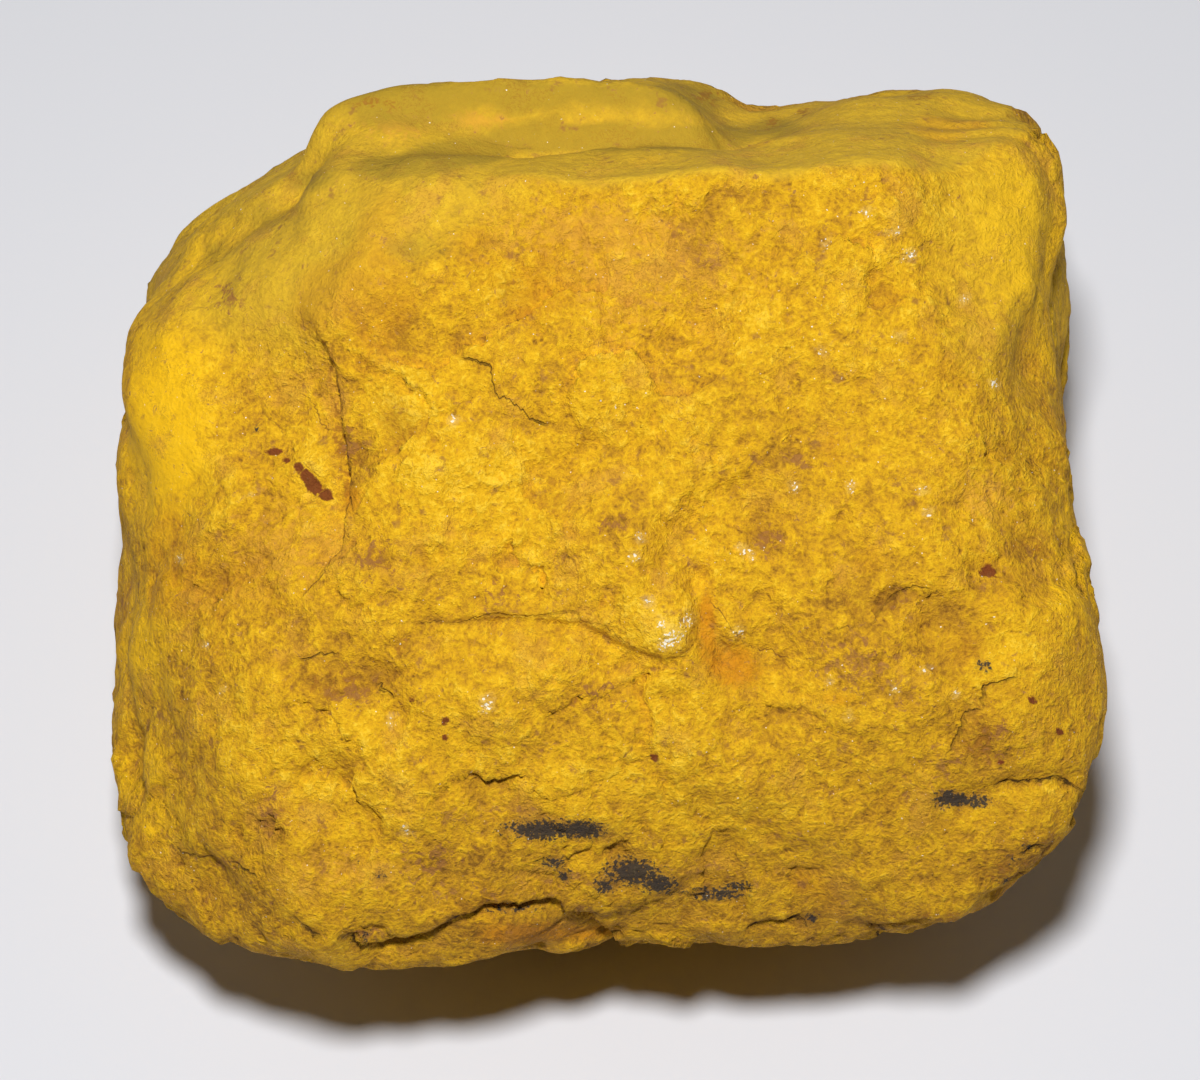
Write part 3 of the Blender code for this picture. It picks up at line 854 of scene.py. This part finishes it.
# %% The stains of the broad face
# Sideways, up, half width, half height, strength, as sighted.
STAINS = {
    "brown": [
        (-17.2, 10.4, 1, 0.73, 0.6), (-11.7, 3.3, 0.64, 1.55, 0.9), (-10.6, -1.7, 1.36, 1, 0.9),
        (-12.2, -7.3, 1.91, 1, 1), (-9.3, -5.6, 0.55, 0.55, 1), (-15.1, -13.1, 1.27, 0.91, 0.8),
        (-17.6, -13.5, 0.82, 0.41, 0.8), (-7.3, -15.3, 2.64, 0.91, 0.7),
        (0.4, -0.1, 1.18, 0.82, 0.8), (7.6, -0.7, 1.27, 0.82, 0.8), (-4.9, -3.2, 1.36, 0.82, 0.7),
        (-0.8, -7.8, 1.45, 0.91, 0.7), (7.8, 2.9, 1.91, 1, 0.6), (17.1, -9.8, 1.18, 1.73, 1),
        (19.3, -1.1, 1.27, 0.64, 0.9), (-3.9, -18.6, 3, 0.64, 1.3), (-10.6, 19.1, 1.64, 0.36, 0.8),
        (4.4, 19.4, 1, 0.45, 1), (7.5, 18.2, 0.36, 0.32, 1.4), (8.9, 18.7, 0.36, 0.27, 1.3),
        (14.2, 19.5, 1.09, 0.36, 0.9), (18.7, 18.6, 1.18, 0.45, 0.9), (-4.4, 10.9, 0.27, 0.18, 1.2),
        (-12.6, 6.6, 0.18, 1.18, 1), (-12.3, 4.2, 0.23, 1.18, 1.1), (-11.9, 1.6, 0.23, 1.09, 1.1),
        # (18, -15.6) is painted shade on the near right flank, where it turns away from the lamp.
        (-16.3, 5.2, 0.64, 1.36, 0.8), (18, -15.6, 1.82, 0.82, 0.9), (20.1, -13.9, 1, 1.18, 0.7),
        (14.6, -17.9, 3.18, 0.45, 0.8), (-18.5, -17.3, 1.82, 0.55, 0.6),
        (9.3, -17.9, 0.55, 0.41, 1.1), (-11.2, -18.5, 0.64, 0.23, 1.2), (12, -5.6, 2.09, 0.45, 0.7),
        (11.5, -10.7, 4.09, 2.73, 0.4),
    ],
    "tan": [
        (-5.9, 18.4, 1.27, 0.41, 1.3), (-9.5, 18.2, 1.55, 0.55, 1.2), (0.5, 11.5, 2.91, 3.27, 0.62),
        (4.2, 11.9, 3.55, 2.55, 0.55), (-14.7, -1.2, 2.64, 2.27, 0.75),
        (17.1, 1.3, 1.27, 1.23, 1.1), (-12.6, 5.9, 0.59, 2.09, 1), (-2.2, 13.4, 4.09, 1.09, 0.7),
        (-12.6, -15.7, 2.73, 1.09, 0.6),
    ],
    # The spot on the left lobe, (-19.9, 3.4), is partly painted light that brightens that edge.
    "bright": [
        (-4.9, 10.7, 1.55, 1.09, 1.4), (-9.4, 5.3, 1.82, 1.64, 1.4), (17.8, 14, 2.27, 2.73, 0.7),
        (6, 8.8, 1.82, 1.36, 0.4), (-19.9, 3.4, 1.82, 2.73, 1), (-13.5, 3.1, 0.64, 1.27, 1.1),
        (18.3, -5.7, 1.55, 1, 1.1), (2.5, -4.5, 1.64, 1.18, 1.1), (1.5, -11.6, 6.82, 2.27, 0.35),
        (-14, -10.7, 3.18, 1.64, 0.35), (11.5, 5.6, 4.09, 3.18, 0.1), (-6.3, 1.1, 3.64, 2.27, 0.6),
    ],
    "olive": [
        (-9.8, 18.8, 3.64, 1.18, 0.8), (-3.1, 19.6, 6.82, 0.59, 1), (-2.2, 18.7, 5, 0.73, 0.4),
        (3.7, 19.1, 1.82, 0.91, 0.7), (-20.4, 10.2, 1.18, 2, 0.2), (-17.9, 12.4, 1.18, 0.91, 0.6),
        (-15.7, 14.1, 1.36, 0.82, 0.6), (-13.3, 15.6, 1.36, 0.64, 0.8), (-9.9, 16.2, 1.82, 0.59, 1),
        (-6.8, 16.8, 2, 0.59, 1.4), (-3.4, 17.5, 2, 0.55, 1.5), (0.1, 17.5, 2.09, 0.55, 1.5),
        (4.2, 17.5, 2.09, 0.55, 1.4), (7.6, 18, 1.36, 0.5, 1), (-8.1, 12.5, 2.73, 1, 0.5),
    ],
    "orange": [
        (4.5, -4.4, 0.45, 1.55, 1.2), (5.8, -6.5, 1.45, 1.09, 1.1), (10.1, -8, 2.27, 0.64, 0.5),
        (-11.6, 1.1, 0.55, 1, 0.8), (-3.9, -18.6, 3, 0.64, 0.8), (-0.4, -18.5, 1.82, 0.45, 0.5),
    ],
    "mauve": [
        (11, -6.2, 1.64, 1.45, 1), (13.5, -7.5, 1.55, 1.18, 0.8), (-8.1, -15.2, 1.82, 1, 1),
        (-2.2, -16.2, 1.82, 0.64, 0.6), (-0.5, -7.6, 1.09, 0.73, 0.7),
        (-4.9, -3.5, 1.09, 0.73, 0.9), (17.8, -9.9, 0.91, 1.09, 0.9), (4.4, 11.9, 1.18, 0.64, 0.9),
        (-17.1, 10.2, 0.91, 0.73, 1), (-10.8, -1.7, 1, 0.82, 1), (-11.7, 3.5, 0.55, 1, 0.9),
        (7.6, -0.7, 1.09, 0.64, 1), (15.3, -11, 1, 1.09, 0.9), (-15.5, -13.1, 0.55, 1, 1.1),
        (-11.6, -7.7, 1, 0.64, 1.1), (0.4, -0.1, 0.73, 0.55, 1), (8.3, 2.9, 1.18, 0.64, 0.8),
        (-17.4, -15.4, 1.18, 0.32, 0.9), (-6.3, -16.9, 2.73, 0.45, 0.8),
        (4.2, -15.7, 2.73, 0.64, 0.7), (-10.7, -18.7, 1, 0.36, 1.2), (-19.5, -9.6, 0.64, 0.45, 0.8),
        (-7.1, 5.6, 0.91, 0.36, 0.8), (2.9, 14, 0.45, 0.45, 0.9), (-4.9, -13.2, 2.73, 0.55, 0.7),
        (-17.9, -7.1, 1, 1.27, 0.6),
    ],
    "black": [
        (-3.1, -13.9, 1.55, 0.45, 1.25), (-1, -13.9, 0.91, 0.36, 1.2),
        (-2.5, -15.4, 0.64, 0.32, 0.85), (-1.9, -16, 0.32, 0.23, 1), (1.1, -15.8, 1.18, 0.59, 1.25),
        (2.4, -16.4, 0.73, 0.36, 1.2), (-0.2, -16.5, 0.45, 0.32, 1), (4.9, -16.8, 1.18, 0.32, 1),
        (6.1, -16.4, 0.64, 0.18, 0.8), (15.5, -12.5, 0.68, 0.36, 1.3),
        (16.7, -12.6, 0.73, 0.27, 1.25), (18.4, -15.3, 0.32, 0.18, 1.1),
        (19.2, -14.7, 0.27, 0.14, 1), (17.9, -16.2, 0.45, 0.18, 0.8), (17.1, -6.4, 0.32, 0.23, 1.1),
        (-11.5, -15.3, 0.27, 0.18, 1), (-10.4, -16, 0.27, 0.18, 1), (-16, 4.3, 0.14, 0.27, 0.9),
        (-4.5, -17.5, 1.82, 0.14, 0.8), (-11.2, -18.8, 0.45, 0.18, 0.9),
        (9.3, -17.9, 0.27, 0.23, 1),
    ],
    # Pure yellow on the lobes at the left and right edges: partly their own yellow, partly painted
    # light that brightens the edges.
    "pure_and_lit": [
        (-20.1, 4.3, 2.09, 5, 1.1), (-18.5, 11.5, 1.36, 1.82, 0.5), (18.5, 13.4, 2.09, 3.64, 1),
        (21.2, -1.6, 1.18, 4.09, 0.7), (-21.3, -5.7, 1.55, 3.18, 0.7), (20.1, 8.8, 1.09, 2.73, 0.6),
        (-20.8, -12.5, 1.82, 2.73, 0.6),
    ],
    "red": [
        (-14.1, 2.6, 0.23, 0.23, 1.2), (-13.7, 2.2, 0.32, 0.32, 1.3), (-13.3, 1.7, 0.36, 0.36, 1.3),
        (-12.8, 1.3, 0.32, 0.27, 1.2), (17.3, -2.1, 0.36, 0.36, 1.2), (-7.4, -9, 0.23, 0.18, 1.2),
        (-7.4, -9.7, 0.23, 0.18, 1.2), (-8.8, -7.9, 0.41, 0.36, 0.6),
        (17.8, -10.8, 0.27, 0.23, 1.1), (20.5, -9.5, 0.27, 0.23, 1), (19.3, -8, 0.27, 0.23, 1),
        (2.1, -10.6, 0.27, 0.23, 1), (-15.2, 3.3, 0.5, 0.18, 1.2), (-14.6, 2.9, 0.18, 0.18, 1.1),
    ],
}
GLINTS = [
    (-16.2, 1.3, 0.27), (-19.5, -1.6, 0.23), (-18.3, -5.5, 0.27), (-17.5, -7.5, 0.23),
    (-9.9, -9, 0.36), (-5.5, -8.2, 0.5), (1.2, -1.5, 0.36), (1.5, -0.6, 0.36), (1.9, -3.6, 0.36),
    (2.4, -4.5, 0.32), (3.1, -5.1, 0.59), (2.5, -5.5, 0.32), (3.7, -4.3, 0.36), (5.9, -4.9, 0.36),
    (6, -1.1, 0.32), (6.5, -1.4, 0.36), (8.5, 1.7, 0.36), (9.9, 12.8, 0.32), (11.7, 14.1, 0.32),
    (13, 13.3, 0.32), (13.7, 12.2, 0.45), (16.2, 10.2, 0.32), (13.2, 8.6, 0.32), (9.8, 7.9, 0.32),
    (17.6, 6.4, 0.32), (11, 1.7, 0.32), (14.3, 1.5, 0.32), (14.5, 0.5, 0.32), (10.1, -7.1, 0.32),
    (10.9, -8.7, 0.32), (13, -7.6, 0.32), (14.4, -6.6, 0.32), (15.9, -7.7, 0.32), (-7, 4.7, 0.36),
    (-9.2, -13.9, 0.36),
]
print(sum(len(kind) for kind in STAINS.values()), "stains,", len(GLINTS), "clusters of mica")

# %% Keep the stains on the mesh
normals = np.empty(len(mesh.vertices) * 3, dtype=np.float32)
mesh.vertex_normals.foreach_get("vector", normals)
turn = math.radians(TIP)
y_up, z_up = normals.reshape(-1, 3)[:, 1], normals.reshape(-1, 3)[:, 2]
faces_eye = smooth(4 * (z_up * math.cos(turn) - y_up * math.sin(turn)))
seen_skin = as_seen(skin)


def spots(table):
    """The sum of e to the minus squared distance, in half widths and half heights, as seen."""
    felt = np.zeros(len(skin))
    for x, y, wide, high, strength in table:
        across, up = (seen_skin[:, 0] - x) / wide, (seen_skin[:, 1] - y) / high
        felt += strength * np.exp(-(across**2 + up**2))
    return felt * faces_eye


def keep(name, values):
    """One number for each point, which a material reads by its name."""
    kept = mesh.attributes.new(name, "FLOAT", "POINT")
    kept.data.foreach_set("value", np.ascontiguousarray(values, dtype=np.float32))


# The foot: up to FOOT_TOP over the floor, fading over FOOT_FADE, the finish is darkened as painted
# shade.
FOOT_TOP, FOOT_FADE = 6.5, 5.0  # millimetres over the floor

to_keep = {kind: spots(table) for kind, table in STAINS.items()}
# In the finish, foot, near_edge and raised darken the earth as painted shade, the crack numbers
# place painted crack shade, far_slope and worn lighten it as painted light, and glint places
# painted glints.
to_keep |= {
    "glint": spots([(x, y, size, size, 1.0) for x, y, size in GLINTS]),
    "open_across": open_across,
    "open_felt": open_felt,
    "hair_across": hair_across,
    "hair_felt": hair_felt,
    "side": on_the_side(towards),
    "far_slope": far_slope,
    "worn": np.maximum(worn_smooth, 0.5 * right_smooth),
    "near_edge": near_edge,
    "foot": smooth((FOOT_TOP - points[:, 2]) / FOOT_FADE),
    "raised": fine,
    "rugged": rugged,
}
for name, values in to_keep.items():
    keep(name, values)
print("kept on the mesh:", ", ".join(a.name for a in mesh.attributes if a.data_type == "FLOAT"))

# %% [markdown]
# ## The finish: tools first
# The finish is built from shader nodes: noise at the sizes that the real earth shows, and the
# numbers kept on the mesh. A photograph could be wrapped round the stone, but it would carry its
# light with it and stretch on the sides. Everything is read in millimetres in the stone's own
# level, so that the beds are level too. Tones are given as they look on a screen, from 0 to 255.

# %% Helpers for nodes
finish = bpy.data.materials.new("limonite_ochre")
finish.use_nodes = True
tree = finish.node_tree
shader = tree.nodes["Principled BSDF"]


def node(kind, **settings):
    """A new node with some of its settings."""
    made = tree.nodes.new(kind)
    for name, value in settings.items():
        setattr(made, name, value)
    return made


def feed(socket, value):
    """Joins a node's output to a socket, or sets the socket to a plain number."""
    if isinstance(value, bpy.types.NodeSocket):
        tree.links.new(value, socket)
    else:
        socket.default_value = value


def tone(red, green, blue):
    """A screen colour as the light that it stands for: the standard curve undone."""
    share = np.array([red, green, blue]) / 255
    light = np.where(share > 0.04045, ((share + 0.055) / 1.055) ** 2.4, share / 12.92)
    return (*(float(c) for c in light), 1.0)


def sums(operation, first, second=0.5, third=0.5):
    """A Math node on one, two or three values."""
    made = node("ShaderNodeMath", operation=operation)
    for socket, value in zip(made.inputs, (first, second, third)):
        feed(socket, value)
    return made.outputs[0]


def times(first, second):
    """The product of two values."""
    return sums("MULTIPLY", first, second)


def rise(value, low, high, least=0.0, most=1.0):
    """An S-shaped rise from least to most while the value goes from low to high."""
    made = node("ShaderNodeMapRange", interpolation_type="SMOOTHSTEP")
    for name, given in (("Value", value), ("From Min", low), ("From Max", high),
                        ("To Min", least), ("To Max", most)):
        feed(made.inputs[name], given)
    return made.outputs["Result"]


def mix(share, under, over):
    """A share of one colour over another."""
    made = node("ShaderNodeMix", data_type="RGBA", clamp_factor=True)
    feed(made.inputs["Factor"], share)
    feed(made.inputs[6], under)  # the node has a pair of inputs for each kind of value,
    feed(made.inputs[7], over)  # and these are the colours
    return made.outputs[2]


def kept(name):
    """A number that was kept on the mesh."""
    return node("ShaderNodeAttribute", attribute_name=name).outputs["Fac"]


print("yellow of the base as light:", [round(c, 3) for c in tone(218, 166, 38)[:3]])

# %% Millimetres, level with the beds
place = node("ShaderNodeTexCoord").outputs["Object"]
level = node("ShaderNodeMapping")
level.inputs["Rotation"].default_value = (-math.radians(TIP), 0.0, 0.0)
level.inputs["Scale"].default_value = (1000.0, 1000.0, 1000.0)
feed(level.inputs["Vector"], place)
in_mm = level.outputs["Vector"]
drawn_out = node("ShaderNodeMapping")
drawn_out.inputs["Scale"].default_value = (0.35, 0.35, 3.0)
feed(drawn_out.inputs["Vector"], in_mm)
along_beds = drawn_out.outputs["Vector"]


def noise(where, fineness, octaves=3.0, roughness=0.5, distortion=0.0):
    """Noise of so many bumps to the millimetre, from 0 to 1."""
    made = node("ShaderNodeTexNoise")
    for name, given in (("Vector", where), ("Scale", fineness), ("Detail", octaves),
                        ("Roughness", roughness), ("Distortion", distortion)):
        feed(made.inputs[name], given)
    return made.outputs["Fac"]


broad = noise(in_mm, 0.13, 2.0)
patchy = noise(in_mm, 0.42, 4.0, 0.6)
mottle = noise(in_mm, 1.5, 5.0, 0.70, 0.40)
grit = noise(in_mm, 6.0, 2.0, 0.6)
flecks = noise(in_mm, 1.0, 3.0, 0.6)
flaky = noise(in_mm, 2.4, 4.0, 0.68, 0.6)
streaks = noise(along_beds, 1.0, 4.0, 0.65)
print("seven kinds of noise")

# %% [markdown]
# ## The earth's own colours, with painted shade
# Where the earth stands proud it is rubbed to a bright yellow, and where it lies low it is
# darkened as painted shade, so one number runs from low to proud: four sizes of noise, the relief
# that was kept on the mesh, the bright, brown and mauve stains, and the near edge, which is
# darkened as painted shade where it turns away from the lamp. A colour ramp turns that number
# into tones.

# %% One number for how rubbed the earth is, with painted shade in its low places and at the near edge
def off_half(value, amount):
    """Amount times (the value less a half): a noise made to swing about nothing."""
    return times(sums("SUBTRACT", value, 0.5), amount)


def total(*values):
    """The sum of any number of values."""
    whole = values[0]
    for value in values[1:]:
        whole = sums("ADD", whole, value)
    return whole


NOISES_IN_WEAR_AND_SHADE = ((mottle, 1.75), (grit, 1.0), (patchy, 0.4), (broad, 0.3))
# raised and near_edge bring painted shade into the number: the low places and the near edge are
# darkened.
KEPT_IN_WEAR_AND_SHADE = {"raised": 0.5, "bright": 0.30, "brown": -0.22, "mauve": -0.08, "near_edge": -0.14}

wear_and_shade = total(0.57, *(off_half(swing, amount) for swing, amount in NOISES_IN_WEAR_AND_SHADE),
               *(times(kept(name), amount) for name, amount in KEPT_IN_WEAR_AND_SHADE.items()))
WEAR_AND_SHADE_TONES = ((0.00, tone(138, 95, 22)), (0.20, tone(178, 128, 26)), (0.40, tone(204, 150, 24)),
                (0.58, tone(222, 168, 20)), (0.78, tone(235, 183, 22)), (1.00, tone(248, 201, 48)))
ramp = node("ShaderNodeValToRGB")
stops = ramp.color_ramp.elements
for at, _ in WEAR_AND_SHADE_TONES[2:]:  # a new ramp has two stops already
    stops.new(at)
for stop, (at, shade) in zip(stops, WEAR_AND_SHADE_TONES):
    stop.position, stop.color = at, shade
feed(ramp.inputs["Fac"], wear_and_shade)
ground = ramp.outputs["Color"]
print(len(stops), "tones in the ramp")

# %% Streaks along the beds
BED_BROWN = tone(168, 122, 26)

streaked = times(rise(streaks, 0.53, 0.40, 0.0, 0.6),
                sums("MAXIMUM", kept("side"), times(kept("far_slope"), 0.8)))
ground = mix(streaked, ground, BED_BROWN)
print("the ground has", len(tree.nodes), "nodes so far")

# %% [markdown]
# ## Stains
# Every stain's number is roughened with noise and then cut off softly, so that it ends in a
# ragged edge with islands, as a real stain does in porous earth. Weak patches of the same tones,
# from noise alone, go over the whole stone, the hidden sides too.

# %% Lay the stains over the ground, with painted light on the edges and the far slope
def ragged(value, noise_in, spread, low, high, most=1.0):
    """The value plus spread times (noise less a half), cut off softly between low and high."""
    return rise(sums("ADD", value, off_half(noise_in, spread)), low, high, 0.0, most)


PURE_AND_LIT = tone(252, 196, 10)
TAN = tone(222, 160, 52)
OLIVE = tone(166, 136, 36)
SLOPE_OLIVE_AND_LIGHT = tone(212, 176, 46)
ORANGE = tone(208, 134, 14)
BROWN = tone(158, 102, 24)
MAUVE = tone(160, 108, 54)

# Pure yellow on the left and right edges: partly the lobe's own yellow, partly painted light that
# brightens the edges.
colour = mix(ragged(kept("pure_and_lit"), mottle, 1.6, 0.10, 0.90, 0.80), ground, PURE_AND_LIT)
# The far slope and the worn far sides take a lighter olive: partly their own tone, partly painted
# light for how they are lit.
worn_or_far = sums("MAXIMUM", kept("far_slope"), kept("worn"))
colour = mix(times(worn_or_far, 0.60), colour, SLOPE_OLIVE_AND_LIGHT)
colour = mix(rise(patchy, 0.54, 0.68, 0.0, 0.40), colour, TAN)
colour = mix(rise(broad, 0.40, 0.30, 0.0, 0.30), colour, ORANGE)
# Kind, noise in its edge, how far that spreads it, where it begins, where it is full, most, tone.
KINDS = (
    ("tan", flaky, 3.4, 0.20, 1.10, 0.60, TAN),
    ("olive", patchy, 1.2, 0.20, 0.80, 0.80, OLIVE),
    ("orange", mottle, 1.6, 0.30, 0.90, 0.75, ORANGE),
    ("brown", flaky, 5.0, 0.65, 1.25, 0.72, BROWN),
    ("mauve", flaky, 5.0, 0.65, 1.25, 0.72, MAUVE),
)
for kind, noise_in_edge, spread, low, high, most, shade in KINDS:
    colour = mix(ragged(kept(kind), noise_in_edge, spread, low, high, most), colour, shade)
print("pure yellow,", ", ".join(kind for kind, *_ in KINDS), "are laid")

# %% Painted shade in low places, at the foot and in the cracks; flecks
PAINTED_SHADE_BROWN = tone(138, 90, 26)
FLECK = tone(152, 102, 52)
RUST_FLECK = tone(126, 66, 26)
CRACK_SHADE = tone(58, 36, 12)
HAIRLINE_SHADE = tone(116, 74, 24)
THREAD = tone(156, 108, 30)

# Painted shade: the low places of the fine relief and the foot of the stone, near the floor, are
# darkened.
colour = mix(rise(kept("raised"), -0.14, -0.42, 0.0, 0.40), colour, PAINTED_SHADE_BROWN)
colour = mix(ragged(kept("foot"), flaky, 1.6, 0.20, 1.10, 0.32), colour, PAINTED_SHADE_BROWN)
threads = rise(sums("ABSOLUTE", off_half(flaky, 1.0)), 0.030, 0.004)
colour = mix(times(threads, rise(patchy, 0.44, 0.60, 0.10, 0.55)), colour, THREAD)
flecked = times(rise(flecks, 0.62, 0.70), rise(mottle, 0.58, 0.46, 0.0, 0.6))
colour = mix(flecked, colour, FLECK)
rusty = times(rise(flaky, 0.68, 0.75, 0.0, 0.7), rise(patchy, 0.52, 0.64))
colour = mix(rusty, colour, RUST_FLECK)


def crack_line(name, wander):
    """One on the middle of a crack and none past its width, with noise added to its distance."""
    bent = sums("ADD", kept(name + "_across"), off_half(mottle, wander))
    within = rise(sums("ABSOLUTE", bent), 0.9, 0.2)
    return times(within, rise(kept(name + "_felt"), 0.1, 0.9))


open_line = crack_line("open", 4.0)
hair_line = crack_line("hair", 5.0)
# Painted shade: a brown band beside the open cracks, and dark lines inside the open cracks and
# hairlines.
spread_out = sums("ABSOLUTE", sums("ADD", kept("open_across"), off_half(mottle, 6.0)))
shade_beside_cracks = times(rise(spread_out, 3.4, 0.6, 0.0, 0.45), kept("open_felt"))
broken = rise(flecks, 0.38, 0.54, 0.12, 0.90)
colour = mix(shade_beside_cracks, colour, PAINTED_SHADE_BROWN)
colour = mix(times(open_line, broken), colour, CRACK_SHADE)
colour = mix(times(hair_line, broken), colour, HAIRLINE_SHADE)
print("cracks are drawn")

# %% Red iron and black manganese
RED_IRON = tone(116, 52, 22)
MANGANESE = tone(43, 43, 46)
ROUND_BLACK = tone(144, 102, 46)

colour = mix(ragged(kept("red"), mottle, 2.2, 0.40, 0.75, 0.95), colour, RED_IRON)
colour = mix(ragged(kept("black"), patchy, 1.6, 0.05, 0.70, 0.35), colour, ROUND_BLACK)
black = ragged(kept("black"), grit, 3.0, 0.30, 0.85, 0.92)
colour = mix(times(black, rise(kept("black"), 0.05, 0.25)), colour, MANGANESE)
print("red and black are laid")

# %% [markdown]
# ## Mica, with painted glints and sheen
# Where fine mica lies at the surface there are clusters of white sparks, and now and then a
# single one: light flashing off the flakes, painted into the colour as white glints, with a pale
# painted sheen round each cluster. They could be separate plates, but at a tenth of a millimetre
# thousands would be needed. Instead a fine noise, cut off sharply, leaves ragged flakes that crowd
# together inside a cluster, and its highest peaks are the single ones. They are painted white and
# are smoother than the earth, so the bump makes some of them flash as well.

# %% Where the mica is, and its painted glints and sheen
MICA_GLINT_WHITE = tone(252, 246, 226)
PAINTED_SHEEN = tone(240, 206, 120)
painted_sheen = ragged(kept("glint"), flaky, 2.4, 0.20, 1.10)
tiny = noise(in_mm, 7.0, 1.0)
single = rise(tiny, 0.77, 0.82, 0.0, 0.9)
mica_glints = sums("MAXIMUM", ragged(kept("glint"), tiny, 3.2, 1.02, 1.32, 0.9), single)
# A painted sheen round the clusters, then the white painted glints.
colour = mix(times(painted_sheen, 0.28), colour, PAINTED_SHEEN)
colour = mix(mica_glints, colour, MICA_GLINT_WHITE)
feed(shader.inputs["Base Color"], colour)
print("mica is laid")

# %% [markdown]
# ## Dullness and the finest roughness
# Earth scatters light and has almost no gloss, so the shader's specular level is low and its
# roughness high, except on the mica. The grains under a tenth of a millimetre are too fine for
# the mesh and are left to a bump, along with the edges of the drawn cracks.

# %% Gloss and bump
EARTH_ROUGHNESS, MICA_ROUGHNESS = 0.92, 0.25
EARTH_SPECULAR = 0.28

shining = sums("MAXIMUM", mica_glints, times(painted_sheen, 0.5))
feed(shader.inputs["Roughness"], rise(shining, 0.0, 1.0, EARTH_ROUGHNESS, MICA_ROUGHNESS))
shader.inputs["Specular IOR Level"].default_value = EARTH_SPECULAR
height = total(times(mottle, 0.28), times(grit, 0.10), times(open_line, -0.20))
bump = node("ShaderNodeBump")
feed(bump.inputs["Strength"], rise(kept("rugged"), 0.2, 1.0, 0.4, 1.0))
bump.inputs["Distance"].default_value = MM
feed(bump.inputs["Height"], height)
feed(shader.inputs["Normal"], bump.outputs["Normal"])
mesh.materials.append(finish)
print("the finish has", len(tree.nodes), "nodes")

# %% [markdown]
# ## Floor, camera and light
# The stone lies on a plain pale floor. The camera looks squarely at the middle of the stone from
# 22 cm, as far as a close-up is taken from, and the light is a small soft lamp above the lens
# with a pale room round it, so the near side keeps its short dark shadow.

# %% The floor
HALF_FLOOR = 1.5
floor_corners = np.array([(-1, -1, 0), (1, -1, 0), (1, 1, 0), (-1, 1, 0)]) * HALF_FLOOR
floor_mesh = mesh_from("floor", floor_corners, np.array([[0, 1, 2, 3]]))
floor = bpy.data.objects.new("floor", floor_mesh)
bpy.context.scene.collection.objects.link(floor)
paper = bpy.data.materials.new("pale_floor")
paper.use_nodes = True
paper_inputs = paper.node_tree.nodes["Principled BSDF"].inputs
paper_inputs["Base Color"].default_value = tone(222, 223, 228)
paper_inputs["Roughness"].default_value = 0.9
floor_mesh.materials.append(paper)
print("floor", 2 * HALF_FLOOR, "m across")

# %% The camera
PIXELS_WIDE, PIXELS_HIGH = 1200, 1080
PIXELS_PER_MM = 22.0
MIDDLE_IN_PHOTO = (608, 524)

middle = Vector((SHIFT[0], SHIFT[1], REST_DISTANCE)) * MM
outwards = Vector((0, -math.sin(turn), math.cos(turn)))
upwards = Vector((0, math.cos(turn), math.sin(turn)))
lens = bpy.data.cameras.new("camera")
lens.sensor_width = 36.0
lens.lens = PIXELS_PER_MM * EYE_DISTANCE * lens.sensor_width / PIXELS_WIDE
lens.clip_start = 0.01
lens.shift_x = (PIXELS_WIDE / 2 - MIDDLE_IN_PHOTO[0]) / PIXELS_WIDE
lens.shift_y = -(PIXELS_HIGH / 2 - MIDDLE_IN_PHOTO[1]) / PIXELS_WIDE
camera = bpy.data.objects.new("camera", lens)
camera.matrix_world = Matrix((Vector((1, 0, 0)), upwards, outwards)).transposed().to_4x4()
camera.location = middle + outwards * EYE_DISTANCE * MM
bpy.context.scene.collection.objects.link(camera)
bpy.context.scene.camera = camera
print("lens", round(lens.lens, 1), "mm, camera at", [round(c, 3) for c in camera.location])

# %% The light
LAMP_UP = math.radians(76.5)
LAMP_AWAY = 0.25
LAMP_SIZE = 0.03
LAMP_POWER = 0.68
lamp_way = Vector((-0.03, -math.cos(LAMP_UP), math.sin(LAMP_UP))).normalized()
glow = bpy.data.lights.new("soft_lamp", "AREA")
glow.shape = "DISK"
glow.size = LAMP_SIZE
glow.energy = LAMP_POWER
lamp = bpy.data.objects.new("soft_lamp", glow)
lamp.location = middle + lamp_way * LAMP_AWAY
lamp.rotation_euler = (-lamp_way).to_track_quat("-Z", "Y").to_euler()
bpy.context.scene.collection.objects.link(lamp)
print("lamp at", [round(c, 3) for c in lamp.location])

# %% The pale room: brightest low down, at the sides and behind, and dark in front
ROOM_LIGHT = 0.30

room = bpy.data.worlds.new("pale_room")
room.use_nodes = True
tree = room.node_tree  # the helpers for nodes now build here
parts = node("ShaderNodeSeparateXYZ")
feed(parts.inputs["Vector"], node("ShaderNodeTexCoord").outputs["Generated"])
behind = rise(parts.outputs["Y"], -0.40, 0.20, 0.0, ROOM_LIGHT)
low_down = sums("SUBTRACT", 1.0, times(parts.outputs["Z"], parts.outputs["Z"]))
background = tree.nodes["Background"]
feed(background.inputs["Strength"], times(behind, low_down))
background.inputs["Color"].default_value = (1.0, 1.0, 1.0, 1.0)
bpy.context.scene.world = room
bpy.context.scene.view_settings.view_transform = "Standard"
print("the room has", len(tree.nodes), "nodes")
